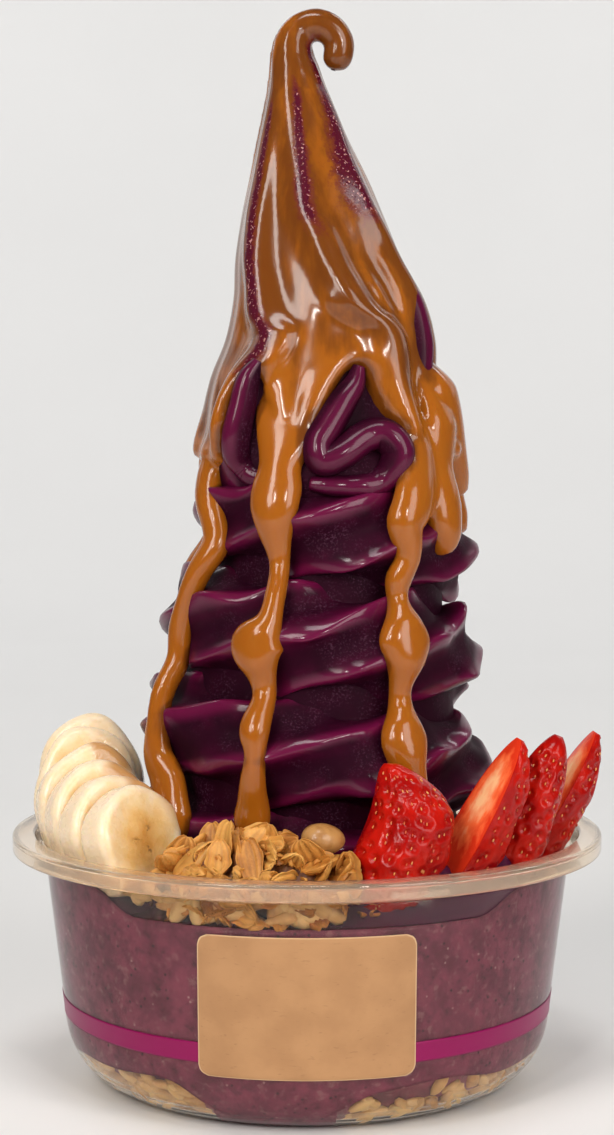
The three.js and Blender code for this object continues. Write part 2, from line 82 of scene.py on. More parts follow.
@dataclass(frozen=True)
class Seeds:
    """Starting points of the random draws, so that every run gives the same shapes."""

    acai_top: int = 3
    base_oats: int = 11
    front_oats: int = 14
    rope: int = 5
    rope_lips: int = 6
    rope_rise: int = 16
    sauce_flow: int = 8
    banana: int = 40
    banana_face: int = 7
    glaze_edge: int = 23
    strawberry: int = 70
    strawberry_skin: int = 9
    heap_core: int = 21
    heap_oats: int = 5
    crumbs: int = 9


SEEDS = Seeds()


# Curves and fields


def ring(count: int) -> Array:
    """Angles once round, evenly spaced."""
    return np.arange(count) / count * TURN


def unit(way: Array) -> Array:
    """Directions scaled to length 1."""
    return way / np.linalg.norm(way, axis=-1, keepdims=True)


def xyz(x: Array, y: Array, z: Array) -> Array:
    """Points from three coordinates of any shapes that go together."""
    return np.stack(np.broadcast_arrays(x, y, z), -1)


def bell(width: float, reach: int) -> Array:
    """Weights of a bell curve, summing to 1: width is its deviation and reach its end, both in steps."""
    weight = np.exp(-0.5 * (np.arange(-reach, reach + 1) / width) ** 2)
    return weight / weight.sum()


def ease(at: Array, low: float, high: float) -> Array:
    """Smooth step: 0 below low, 1 above high and 3t^2 - 2t^3 between them."""
    t = np.clip((np.asarray(at) - low) / (high - low), 0, 1)
    return t * t * (3 - 2 * t)


def spline(knots: Sequence[Sequence[float]], count: int) -> Array:
    """Catmull-Rom curve: each span is the cubic through its two knots, sloped as their neighbours lie.

    Args:
        knots: The points that the curve passes through, of any dimension.
        count: How many points to take, evenly over the spans.

    Returns:
        The points of the curve, count rows.
    """
    table = np.asarray(knots, dtype=float)
    padded = np.concatenate([2 * table[:1] - table[1:2], table, 2 * table[-1:] - table[-2:-1]])
    at = np.linspace(0, len(table) - 1, count)
    span = np.minimum(at.astype(int), len(table) - 2)
    t = (at - span)[:, None]
    a, b, c, d = (padded[span + k] for k in range(4))
    return 0.5 * (2 * b + (c - a) * t + (2 * a - 5 * b + 4 * c - d) * t**2 + (3 * b - a - 3 * c + d) * t**3)


def waves(points: Array, size: float, seed: int, count: int = 16) -> Array:
    """Smooth unevenness: cosine waves of random direction and phase, summed and scaled to about -1 to 1.

    Args:
        points: Points of any shape whose last axis is x, y, z.
        size: The usual distance from crest to crest.
        seed: Seed of the random directions.
        count: How many waves are summed.

    Returns:
        One value for each point.
    """
    rng = np.random.default_rng(seed)
    aim = rng.normal(size=(3, count))
    aim *= TURN / size * rng.uniform(0.6, 1.4, count) / np.linalg.norm(aim, axis=0)
    return np.cos(points @ aim + rng.uniform(0, TURN, count)).sum(-1) * math.sqrt(2 / count) * 0.7


def wrapped(angle: Array) -> Array:
    """The angle brought into -pi to pi."""
    return (np.asarray(angle) + math.pi) % TURN - math.pi


def polar(radius: Array, angle: Array, height: Array, centre_x: Array | float = 0.0) -> Array:
    """Points at radius and angle round an upright axis through centre_x, at height."""
    return xyz(radius * np.cos(angle) + centre_x, radius * np.sin(angle), height).astype(float)


def rounded(path: Array, radius: float, steps: int = 5) -> Array:
    """Cuts every inner corner of a polyline back by radius and bridges the cut with a quadratic curve.

    Args:
        path: The corners, two columns.
        radius: How far back a corner is cut, at most 45% of its shorter side.
        steps: Points along each bridge.

    Returns:
        The rounded polyline with its end points kept.
    """
    before, corner, after = path[:-2], path[1:-1], path[2:]
    back = np.linalg.norm(before - corner, axis=1, keepdims=True)
    ahead = np.linalg.norm(after - corner, axis=1, keepdims=True)
    cut = np.minimum(radius, 0.45 * np.minimum(back, ahead))
    start = corner + (before - corner) / back * cut
    end = corner + (after - corner) / ahead * cut
    t = np.linspace(0, 1, steps)[None, :, None]
    curve = start[:, None] * (1 - t) ** 2 + corner[:, None] * 2 * t * (1 - t) + end[:, None] * t**2
    return np.concatenate([path[:1], curve.reshape(-1, 2), path[-1:]])


# Meshes


@dataclass
class Surface:
    """Points in millimetres, the faces between them, and named values that each point carries."""

    points: Array
    quads: Index
    tris: Index
    values: dict[str, Array] = field(default_factory=dict)

    def outward(self) -> "Surface":
        """Turns the faces round if the enclosed volume, summed over face tetrahedra, is negative.

        Returns:
            This surface.
        """
        tris = np.concatenate([self.quads[:, :3], self.quads[:, [0, 2, 3]], self.tris])
        a, b, c = (self.points[tris[:, k]] for k in range(3))
        if np.einsum("ij,ij->", a, np.cross(b, c)) < 0:
            self.quads = self.quads[:, ::-1]
            self.tris = self.tris[:, ::-1]
        return self


def capped(data: Array) -> Array:
    """Lines up each stack of rings and adds the mean of its first and its last ring at the end.

    Args:
        data: Entries as (stacks, rows, columns, width).

    Returns:
        Rows of one entry a point, stack after stack.
    """
    count, rows, cols, width = data.shape
    ends = [data[:, :1].mean(2), data[:, -1:].mean(2)]
    return np.concatenate([data.reshape(count, rows * cols, width), *ends], 1).reshape(-1, width)


def tube(rings: Array, values: dict[str, Array] | None = None) -> Surface:
    """Closed skin over a stack of rings: quads from ring to ring, a fan to the ring's middle at each end.

    Args:
        rings: Points as (rows, columns, 3), or (tubes, rows, columns, 3) for many tubes at once.
        values: Named values for each point of the rings.

    Returns:
        The skin of all tubes, faces outward.
    """
    stack = rings.reshape(-1, *rings.shape[-3:])
    count, rows, cols = stack.shape[:3]
    size = rows * cols + 2
    index = np.arange(rows * cols).reshape(rows, cols)
    low, high = index[:-1], index[1:]
    quads = np.stack([low, np.roll(low, -1, 1), np.roll(high, -1, 1), high], -1).reshape(-1, 4)
    first, last = index[0], index[-1]
    start_fan = np.stack([np.full(cols, size - 2), np.roll(first, -1), first], -1)
    end_fan = np.stack([np.full(cols, size - 1), last, np.roll(last, -1)], -1)
    tris = np.concatenate([start_fan, end_fan])
    shift = (np.arange(count) * size)[:, None, None]
    quads_all = (quads + shift).reshape(-1, 4)
    tris_all = (tris + shift).reshape(-1, 3)
    named = {}
    for name, data in (values or {}).items():
        named[name] = capped(np.broadcast_to(data, stack.shape[:3])[..., None])[:, 0]
    return Surface(capped(stack), quads_all, tris_all, named).outward()


def hoop(rings: Array) -> Surface:
    """Closed skin over rings that run round to the first again, as a torus does.

    Args:
        rings: Points as (rows, columns, 3).

    Returns:
        The skin, faces outward.
    """
    rows, cols = rings.shape[:2]
    index = np.arange(rows * cols).reshape(rows, cols)
    ahead = np.roll(index, -1, 0)
    quads = np.stack([index, np.roll(index, -1, 1), np.roll(ahead, -1, 1), ahead], -1).reshape(-1, 4)
    return Surface(rings.reshape(-1, 3), quads, NO_TRIS).outward()


def merged(parts: Sequence[Surface]) -> Surface:
    """One surface of several, each part's faces renumbered after the points before it.

    Args:
        parts: Surfaces that carry the same named values.

    Returns:
        The joined surface.
    """
    shifts = np.cumsum([0] + [len(part.points) for part in parts[:-1]])
    points = np.concatenate([part.points for part in parts])
    quads = np.concatenate([part.quads + shift for part, shift in zip(parts, shifts)])
    tris = np.concatenate([part.tris + shift for part, shift in zip(parts, shifts)])
    names = set.intersection(*(set(part.values) for part in parts))
    values = {name: np.concatenate([part.values[name] for part in parts]) for name in sorted(names)}
    return Surface(points, quads, tris, values)


def store(mesh: bpy.types.Mesh, name: str, data: Array) -> None:
    """Stores one value a point on a mesh, under a name that its finish reads."""
    mesh.attributes.new(name, "FLOAT", "POINT").data.foreach_set("value", data.astype(np.float32))


def mesh_object(name: str, surface: Surface, crease: float = math.pi) -> Piece:
    """Puts a surface into a new smooth-shaded mesh object at the origin.

    Args:
        name: Name of the object and its mesh.
        surface: The surface, in millimetres.
        crease: Edges sharper than this angle stay sharp.

    Returns:
        The new object, in metres.
    """
    mesh = bpy.data.meshes.new(name)
    corners = np.concatenate([surface.quads.ravel(), surface.tris.ravel()]).astype(np.int32)
    sides = np.concatenate([np.full(len(surface.quads), 4), np.full(len(surface.tris), 3)])
    starts = np.concatenate([[0], np.cumsum(sides)[:-1]]).astype(np.int32)
    mesh.vertices.add(len(surface.points))
    mesh.vertices.foreach_set("co", (surface.points * MM).astype(np.float32).ravel())
    mesh.loops.add(len(corners))
    mesh.loops.foreach_set("vertex_index", corners)
    mesh.polygons.add(len(sides))
    mesh.polygons.foreach_set("loop_start", starts)
    mesh.update(calc_edges=True)
    mesh.shade_smooth()
    if crease < math.pi:
        mesh.set_sharp_from_angle(angle=crease)
    for key, data in surface.values.items():
        store(mesh, key, data)
    piece = bpy.data.objects.new(name, mesh)
    bpy.context.scene.collection.objects.link(piece)
    return piece


def dress(piece: Piece, finish: "Finish", slot: Slot, *nodes: str) -> None:
    """Gives a piece its finish, ties it to the body, and hides the nodes that it stands for.

    Args:
        piece: The finished object.
        finish: What its material is made by.
        slot: The record's slot for it; not used.
        nodes: Nodes of the part that it replaces, if any.
    """
    piece.data.materials.clear()
    piece.data.materials.append(finish.material())
    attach(piece, BODY)
    if nodes:
        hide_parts(*nodes)
    faces = sum(len(polygon.vertices) - 2 for polygon in piece.data.polygons)
    LOG.info("%s: %d triangles", piece.name, faces)


def fused(piece: Piece, voxel: float, smoothing: int) -> None:
    """Melts a piece's overlapping shells into one skin and evens it.

    Args:
        piece: The object whose mesh is replaced by the fused one.
        voxel: Size of the fusing grid in millimetres.
        smoothing: Rounds of evening.
    """
    remesh = piece.modifiers.new("fuse", "REMESH")
    remesh.mode = "VOXEL"
    remesh.voxel_size = voxel * MM
    remesh.use_smooth_shade = True
    even = piece.modifiers.new("even", "SMOOTH")
    even.factor = 0.5
    even.iterations = smoothing
    graph = bpy.context.evaluated_depsgraph_get()
    mesh = bpy.data.meshes.new_from_object(piece.evaluated_get(graph))
    old = piece.data
    piece.modifiers.clear()
    piece.data = mesh
    bpy.data.meshes.remove(old)
    mesh.name = piece.name
    mesh.shade_smooth()


# Finishes


class NodeSheet:
    """A material's node tree with short calls for the nodes that the finishes use."""

    def __init__(self, name: str) -> None:
        """Starts an empty tree with a Principled shader wired to the output.

        Args:
            name: Name of the material.
        """
        self.material = bpy.data.materials.new(name)
        self.material.use_nodes = True
        self.tree = self.material.node_tree
        self.tree.nodes.clear()
        output = self.tree.nodes.new("ShaderNodeOutputMaterial")
        self.shader = self.tree.nodes.new("ShaderNodeBsdfPrincipled")
        self.tree.links.new(self.shader.outputs["BSDF"], output.inputs["Surface"])
        self.place = self.tree.nodes.new("ShaderNodeTexCoord").outputs["Object"]

    def feed(self, socket: Socket, value: Value) -> None:
        """Links a socket to another, or sets its constant, with alpha 1 added to a plain colour.

        Args:
            socket: The input to feed.
            value: An output, a number or a colour.
        """
        if isinstance(value, bpy.types.NodeSocket):
            self.tree.links.new(value, socket)
        elif isinstance(value, (int, float)):
            socket.default_value = value
        else:
            full = tuple(value)
            socket.default_value = full if len(full) == len(socket.default_value) else (*full, 1.0)

    def node(self, kind: str, **inputs: Value) -> bpy.types.Node:
        """A new node with its inputs fed.

        Args:
            kind: Blender's name of the node, after ShaderNode.
            inputs: Values by the input's name, written with _ for a space.

        Returns:
            The node.
        """
        node = self.tree.nodes.new("ShaderNode" + kind)
        for key, value in inputs.items():
            self.feed(node.inputs[key.replace("_", " ")], value)
        return node

    def attribute(self, name: str) -> Socket:
        """The value that each point carries under this name.

        Args:
            name: Name of the value on the mesh.

        Returns:
            The value's socket.
        """
        node = self.node("Attribute")
        node.attribute_name = name
        return node.outputs["Fac"]

    def stretched(self, scale: Triple) -> Socket:
        """The piece's own coordinates, scaled along each axis."""
        return self.node("Mapping", Scale=scale, Vector=self.place).outputs["Vector"]

    def noise(
        self, size: float, detail: float = 3.0, vector: Socket | None = None, rough: float = 0.5
    ) -> Socket:
        """Cloudy noise of about 0.3 to 0.7, its features size millimetres wide, finer by detail and rough."""
        fine = {"Detail": detail, "Roughness": rough, "Vector": vector or self.place}
        return self.node("TexNoise", Scale=1 / (size * MM), **fine).outputs["Fac"]

    def cells(self, size: float) -> Socket:
        """Distance to the nearest of points scattered size millimetres apart, as a share of size."""
        return self.node("TexVoronoi", Scale=1 / (size * MM), Vector=self.place).outputs["Distance"]

    def ramp(self, value: Socket, stops: Sequence[tuple[float, Sequence[float]]]) -> Socket:
        """Colours run through in order as the value grows.

        Args:
            value: What picks the colour.
            stops: Values and their colours, in order.

        Returns:
            The colour.
        """
        node = self.node("ValToRGB", Fac=value)
        points = node.color_ramp.elements
        for at, _ in stops[1:-1]:
            points.new(at)
        for point, (at, colour) in zip(points, stops):
            point.position = at
            point.color = (*colour, 1.0)
        return node.outputs["Color"]

    def span(self, value: Socket, low: float, high: float, start: float = 0.0, end: float = 1.0) -> Socket:
        """A value's range carried over to another by a smooth step, and held beyond it.

        Args:
            value: The value.
            low: Start of its range.
            high: End of its range.
            start: The result at low.
            end: The result at high.

        Returns:
            The result.
        """
        node = self.node("MapRange", Value=value, From_Min=low, From_Max=high, To_Min=start, To_Max=end)
        node.interpolation_type = "SMOOTHSTEP"
        return node.outputs["Result"]

    def math(self, kind: str, first: Socket | float, second: Socket | float = 0.0) -> Socket:
        """One arithmetic step.

        Args:
            kind: Blender's name of the operation.
            first: The first operand.
            second: The second operand.

        Returns:
            The result.
        """
        node = self.node("Math")
        node.operation = kind
        self.feed(node.inputs[0], first)
        self.feed(node.inputs[1], second)
        return node.outputs["Value"]

    def mix(self, share: Socket | float, first: Socket | Colour, second: Socket | Colour) -> Socket:
        """One colour passing into another.

        Args:
            share: 0 for the first colour to 1 for the second.
            first: The first colour.
            second: The second colour.

        Returns:
            The mixed colour.
        """
        node = self.node("Mix")
        node.data_type = "RGBA"
        self.feed(node.inputs[0], share)
        self.feed(node.inputs[6], first)
        self.feed(node.inputs[7], second)
        return node.outputs[2]

    def bump(self, height: Socket, depth: float, strength: float = 1.0) -> None:
        """Adds fine relief to what is there.

        Args:
            height: Height from 0 to 1.
            depth: How deep that is in millimetres.
            strength: Share of the relief that is used.
        """
        node = self.node("Bump", Strength=strength, Distance=depth * MM, Height=height)
        normal = self.shader.inputs["Normal"]
        if normal.is_linked:
            self.tree.links.new(normal.links[0].from_socket, node.inputs["Normal"])
        self.tree.links.new(node.outputs["Normal"], normal)

    def set(self, **sockets: Value) -> Material:
        """Feeds the shader and closes the sheet.

        Args:
            sockets: Values by the shader's socket names, written with _ for a space.

        Returns:
            The finished material.
        """
        for key, value in sockets.items():
            self.feed(self.shader.inputs[key.replace("_", " ")], value)
        return self.material


class Finish(Protocol):
    """Anything that can make a material."""

    def material(self) -> Material:
        """Builds the material."""


@dataclass(frozen=True)
class ClearPlastic:
    """Thin clear moulded plastic, faintly warm, with a high gloss."""

    name: str = "clear_plastic"
    tint: Colour = (0.975, 0.905, 0.83)
    clearness: float = 1.0
    gloss_index: float = 1.3

    def material(self) -> Material:
        """Thin see-through film, faintly wavy from the mould.

        Returns:
            The material.
        """
        sheet = NodeSheet(self.name)
        sheet.bump(sheet.noise(9, 1), 0.05, 0.4)
        rough = sheet.span(sheet.noise(14, 2), 0.3, 0.7, 0.02, 0.06)
        return sheet.set(
            Base_Color=self.tint, Transmission_Weight=self.clearness, IOR=self.gloss_index, Roughness=rough
        )


MILKY_PLASTIC = ClearPlastic("rim_plastic", (0.98, 0.83, 0.66), 0.90, 1.45)


@dataclass(frozen=True)
class StripePrint:
    """Thin magenta ink on the wall of the cup."""

    ink: Colour = (0.225, 0.003, 0.070)
    worn: Colour = (0.265, 0.006, 0.088)

    def material(self) -> Material:
        """Even ink with faint patches.

        Returns:
            The material.
        """
        sheet = NodeSheet("stripe_print")
        colour = sheet.mix(sheet.noise(6, 3), self.ink, self.worn)
        return sheet.set(Base_Color=colour, Roughness=0.34, Specular_IOR_Level=0.22)


@dataclass(frozen=True)
class KraftPaper:
    """Smooth kraft label paper with a pale cut edge."""

    light: Colour = (0.44, 0.228, 0.097)
    dark: Colour = (0.38, 0.190, 0.078)
    fibre: Colour = (0.26, 0.125, 0.052)
    edge: Colour = (0.72, 0.50, 0.29)

    def material(self) -> Material:
        """Cloudy tan with short fibres, and the rim value for the cut edge.

        Returns:
            The material.
        """
        sheet = NodeSheet("kraft_paper")
        cloud = sheet.span(sheet.noise(7, 4), 0.3, 0.7)
        colour = sheet.mix(cloud, self.light, self.dark)
        strands = sheet.noise(0.5, 3, sheet.stretched((0.25, 1.0, 1.0)))
        colour = sheet.mix(sheet.span(strands, 0.62, 0.78, 0, 0.5), colour, self.fibre)
        colour = sheet.mix(sheet.attribute("rim"), colour, self.edge)
        sheet.bump(strands, 0.03, 0.5)
        return sheet.set(Base_Color=colour, Roughness=0.62)


@dataclass(frozen=True)
class AcaiPuree:
    """Acai that fills the cup: mauve and speckled against the wall, dark and wet on top."""

    pressed: Colour = (0.250, 0.047, 0.094)
    shade: Colour = (0.125, 0.017, 0.043)
    speck_dark: Colour = (0.030, 0.008, 0.016)
    speck_pale: Colour = (0.44, 0.27, 0.27)
    wet: Colour = (0.070, 0.010, 0.044)

    def material(self) -> Material:
        """Clouds, dark skins and pale seeds at the wall; the open value turns it dark and wet.

        Returns:
            The material.
        """
        sheet = NodeSheet("acai_puree")
        cloud = sheet.span(sheet.noise(6, 7, rough=0.72), 0.32, 0.68)
        colour = sheet.mix(cloud, self.pressed, self.shade)
        grain = sheet.noise(1.8, 2, rough=0.6)
        colour = sheet.mix(sheet.span(grain, 0.54, 0.76, 0, 0.5), colour, self.speck_dark)
        colour = sheet.mix(sheet.span(grain, 0.24, 0.46, 0.3, 0), colour, self.speck_pale)
        skins = sheet.span(sheet.cells(2.4), 0.06, 0.18, 0.85, 0)
        colour = sheet.mix(skins, colour, self.speck_dark)
        seeds = sheet.span(sheet.cells(3.6), 0.03, 0.10, 0.8, 0)
        colour = sheet.mix(seeds, colour, self.speck_pale)
        opened = sheet.attribute("open")
        colour = sheet.mix(opened, colour, self.wet)
        rough = sheet.span(opened, 0, 1, 0.5, 0.22)
        sheet.bump(sheet.noise(3, 2), 0.15, 0.3)
        return sheet.set(Base_Color=colour, Roughness=rough)


@dataclass(frozen=True)
class AcaiSwirl:
    """Frozen acai cream: frosty in the flutes, smooth along the lips, with painted shade in the flutes and
    painted light on the lips.
    """

    # deep is painted shade for the flutes and gaps, and also random dark patches; lip is painted light on the
    # crests; frost is frost grains that also stand in for a painted sheen.
    deep: Colour = (0.016, 0.0012, 0.007)
    flute: Colour = (0.040, 0.0016, 0.014)
    lip: Colour = (0.112, 0.004, 0.036)
    frost: Colour = (0.13, 0.050, 0.090)

    def material(self) -> Material:
        """Colour runs from painted shade in the flutes to painted light on the lips by the lip value; frost
        grains, which also stand in for a painted sheen, sit only in the flutes.

        Returns:
            The material.
        """
        sheet = NodeSheet("acai_swirl")
        lip = sheet.attribute("lip")
        colour = sheet.mix(sheet.span(sheet.noise(9, 4), 0.35, 0.7), self.flute, self.deep)
        # Painted shade: the deep colour darkens every place of low lip value, the flutes and the gaps between
        # coils.
        colour = sheet.mix(sheet.span(lip, 0.1, 0.5, 0.75, 0), colour, self.deep)
        # Painted light: the lip colour brightens the crests.
        colour = sheet.mix(sheet.span(lip, 0.5, 1.0), colour, self.lip)
        grain = sheet.noise(0.45, 3, rough=0.7)
        patch = sheet.span(sheet.noise(8, 3), 0.42, 0.62)
        flute = sheet.math("MULTIPLY", sheet.span(lip, 0.25, 0.75, 1, 0), patch)
        frosted = sheet.math("MULTIPLY", sheet.span(grain, 0.5, 0.72), flute)
        # Frost grains, partly real frost and partly a painted sheen.
        colour = sheet.mix(sheet.math("MULTIPLY", frosted, 0.45), colour, self.frost)
        rough = sheet.span(lip, 0.3, 0.9, 0.55, 0.35)
        sheet.bump(sheet.math("MULTIPLY", grain, flute), 0.16, 0.6)
        return sheet.set(
            Base_Color=colour,
            Roughness=rough,
            Subsurface_Weight=0.15,
            Subsurface_Radius=(1.0, 0.12, 0.45),
            Subsurface_Scale=0.002,
            Specular_IOR_Level=0.045,
            Coat_Weight=sheet.span(lip, 0.45, 0.95, 0, 0.6),
            Coat_Roughness=0.12,
        )


@dataclass(frozen=True)
class CaramelSauce:
    """Thick glossy caramel: amber where it is deep, browner where it is thin, plum where it barely covers."""

    deep: Colour = (0.150, 0.040, 0.004)
    amber: Colour = (0.315, 0.090, 0.0055)
    film: Colour = (0.135, 0.022, 0.012)
    plum: Colour = (0.075, 0.0042, 0.0145)
    frost: Colour = (0.62, 0.30, 0.28)

    def material(self) -> Material:
        """Colour by the depth value with slow streaks; the bare value, broken by grain, shows frosted acai,
        whose pale frost specks are also painted glints.

        Returns:
            The material.
        """
        sheet = NodeSheet("caramel_sauce")
        depth = sheet.attribute("depth")
        streak = sheet.noise(6, 4, sheet.stretched((1.0, 1.0, 0.22)), 0.6)
        thick = sheet.math("ADD", depth, sheet.span(streak, 0.3, 0.7, -0.9, 0.9))
        colour = sheet.mix(sheet.span(thick, 0.4, 2.4), self.deep, self.amber)
        grain = sheet.span(sheet.noise(1.5, 4, rough=0.65), 0.3, 0.7, -0.2, 0.2)
        bare = sheet.math("ADD", sheet.attribute("bare"), grain)
        colour = sheet.mix(sheet.span(bare, 0.12, 0.55), colour, self.film)
        colour = sheet.mix(sheet.span(bare, 0.5, 0.8), colour, self.plum)
        # Pale frost specks on the bare acai, also painted glints.
        grit = sheet.span(sheet.noise(0.55, 2), 0.60, 0.70)
        frost_and_glints = sheet.math("MULTIPLY", grit, sheet.span(bare, 0.4, 0.7))
        colour = sheet.mix(sheet.math("MULTIPLY", frost_and_glints, 0.75), colour, self.frost)
        sheet.bump(sheet.math("MULTIPLY", sheet.noise(1.0, 1), sheet.span(bare, 0.4, 0.9)), 0.12, 0.4)
        return sheet.set(
            Base_Color=colour,
            Roughness=0.16,
            Subsurface_Weight=0.3,
            Subsurface_Radius=(1.0, 0.42, 0.10),
            Subsurface_Scale=0.003,
            Specular_IOR_Level=0.33,
            Coat_Weight=0.25,
            Coat_Roughness=0.045,
        )


@dataclass(frozen=True)
class BananaFlesh:
    """Sliced banana: cream flesh, a ring of paler pulp, a faint star of brown seeds, caramel run over it."""

    core: Colour = (0.60, 0.29, 0.070)
    cream: Colour = (0.74, 0.44, 0.155)
    pale: Colour = (0.84, 0.61, 0.33)
    side: Colour = (0.87, 0.69, 0.48)
    seed: Colour = (0.18, 0.075, 0.02)
    caramel: Colour = (0.46, 0.21, 0.050)

    def material(self) -> Material:
        """Pattern on the slice's own disc: distance from its middle and three-fold angle.

        Returns:
            The material.
        """
        sheet = NodeSheet("banana_flesh")
        out = sheet.attribute("out")
        star = sheet.attribute("star")
        ripe = sheet.math("ADD", out, sheet.span(sheet.noise(3, 3), 0.3, 0.7, -0.1, 0.1))
        stops = ((0.12, self.core), (0.45, self.cream), (0.75, self.pale), (0.95, self.side))
        colour = sheet.ramp(ripe, stops)
        dots = sheet.span(sheet.noise(0.7, 2), 0.45, 0.6)
        seeds = sheet.math("MULTIPLY", sheet.math("MULTIPLY", star, dots), 0.85)
        colour = sheet.mix(seeds, colour, self.seed)
        colour = sheet.mix(sheet.span(out, 0.93, 1.05), colour, self.side)
        glaze = sheet.attribute("glaze")
        colour = sheet.mix(sheet.span(glaze, 0.0, 0.9, 0, 0.85), colour, self.caramel)
        sheet.bump(sheet.noise(0.6, 3), 0.12, 0.5)
        dry = sheet.span(sheet.noise(2, 2), 0.3, 0.7, 0.2, 0.38)
        return sheet.set(
            Base_Color=colour,
            Roughness=sheet.math("MULTIPLY", dry, sheet.span(glaze, 0, 0.6, 1, 0.35)),
            Subsurface_Weight=0.3,
            Subsurface_Radius=(1.0, 0.6, 0.25),
            Subsurface_Scale=0.003,
        )


@dataclass(frozen=True)
class StrawberryFlesh:
    """Strawberry half: glossy red skin, cut face from red rim to pale streaked heart."""

    skin: Colour = (0.30, 0.0025, 0.002)
    skin_light: Colour = (0.47, 0.008, 0.003)
    rim: Colour = (0.72, 0.040, 0.012)
    flesh: Colour = (0.93, 0.150, 0.045)
    heart: Colour = (1.0, 0.52, 0.26)

    def material(self) -> Material:
        """Skin where the cut value is 0; on the cut face the heart value runs from rim to middle.

        Returns:
            The material.
        """
        sheet = NodeSheet("strawberry_flesh")
        skin = sheet.mix(sheet.span(sheet.noise(6, 3), 0.35, 0.65), self.skin, self.skin_light)
        streaks = sheet.noise(1.6, 3, sheet.stretched((1.0, 1.0, 0.3)))
        depth = sheet.math("ADD", sheet.attribute("heart"), sheet.span(streaks, 0.3, 0.7, -0.16, 0.16))
        flesh = sheet.ramp(depth, ((0.1, self.rim), (0.45, self.flesh), (0.95, self.heart)))
        colour = sheet.mix(sheet.attribute("cut"), skin, flesh)
        sheet.bump(sheet.noise(0.9, 2), 0.12, 0.4)
        return sheet.set(
            Base_Color=colour,
            Roughness=0.2,
            Subsurface_Weight=0.15,
            Subsurface_Radius=(1.0, 0.10, 0.06),
            Subsurface_Scale=0.002,
            Specular_IOR_Level=0.12,
            Coat_Weight=0.16,
            Coat_Roughness=0.04,
        )


@dataclass(frozen=True)
class StrawberrySeed:
    """Straw-yellow seed of a strawberry."""

    straw: Colour = (0.70, 0.30, 0.085)
    red: Colour = (0.52, 0.05, 0.015)

    def material(self) -> Material:
        """Yellow turning to red from seed to seed.

        Returns:
            The material.
        """
        sheet = NodeSheet("strawberry_seed")
        colour = sheet.mix(sheet.span(sheet.noise(3, 1), 0.35, 0.65), self.straw, self.red)
        return sheet.set(Base_Color=colour, Roughness=0.25)


@dataclass(frozen=True)
class ToastedOats:
    """Toasted oat flakes: each with its own tone, and painted shade that browns the furrows."""

    name: str = "toasted_oats"
    pale: Colour = (0.74, 0.365, 0.080)
    golden: Colour = (0.47, 0.180, 0.025)
    brown: Colour = (0.12, 0.033, 0.005)

    def material(self) -> Material:
        """The tone value picks the flake's colour and the furrow value paints shade into its creases.

        Returns:
            The material.
        """
        sheet = NodeSheet(self.name)
        mottle = sheet.span(sheet.noise(2.5, 3), 0.3, 0.7, -0.18, 0.18)
        tone = sheet.math("ADD", sheet.attribute("tone"), mottle)
        colour = sheet.ramp(tone, ((0.0, self.pale), (0.55, self.golden), (1.0, self.brown)))
        # Painted shade: the furrow value darkens the creases toward brown.
        colour = sheet.mix(sheet.math("MULTIPLY", sheet.attribute("furrow"), 0.7), colour, self.brown)
        sheet.bump(sheet.noise(0.5, 3), 0.15, 0.7)
        return sheet.set(Base_Color=colour, Roughness=0.52, Subsurface_Weight=0.08, Subsurface_Scale=0.001)


# Lighter copy of the toasted oats for the flakes behind the wall: partly soaked, partly painted light for the
# shade they sit in.
SOAKED_OATS_PAINTED_LIGHTER = ToastedOats("soaked_oats_painted_lighter", (0.82, 0.56, 0.25), (0.60, 0.34, 0.12), (0.20, 0.07, 0.02))


@dataclass(frozen=True)
class RoastedNut:
    """Smooth roasted kernel."""

    tan: Colour = (0.47, 0.235, 0.072)
    brown: Colour = (0.30, 0.125, 0.03)

    def material(self) -> Material:
        """Tan with browner patches and fine veins.

        Returns:
            The material.
        """
        sheet = NodeSheet("roasted_nut")
        colour = sheet.mix(sheet.span(sheet.noise(3.5, 4), 0.38, 0.68), self.tan, self.brown)
        sheet.bump(sheet.noise(0.9, 3), 0.1, 0.5)
        return sheet.set(Base_Color=colour, Roughness=0.36, Coat_Weight=0.15)


@dataclass(frozen=True)
class PaleFloor:
    """Matt white backdrop."""

    paint: Colour = (0.86, 0.855, 0.85)
    shade: Colour = (0.83, 0.825, 0.82)

    def material(self) -> Material:
        """White with the faintest cloud.

        Returns:
            The material.
        """
        sheet = NodeSheet("pale_floor")
        colour = sheet.mix(sheet.noise(120, 2), self.paint, self.shade)
        return sheet.set(Base_Color=colour, Roughness=0.7)


# Cup


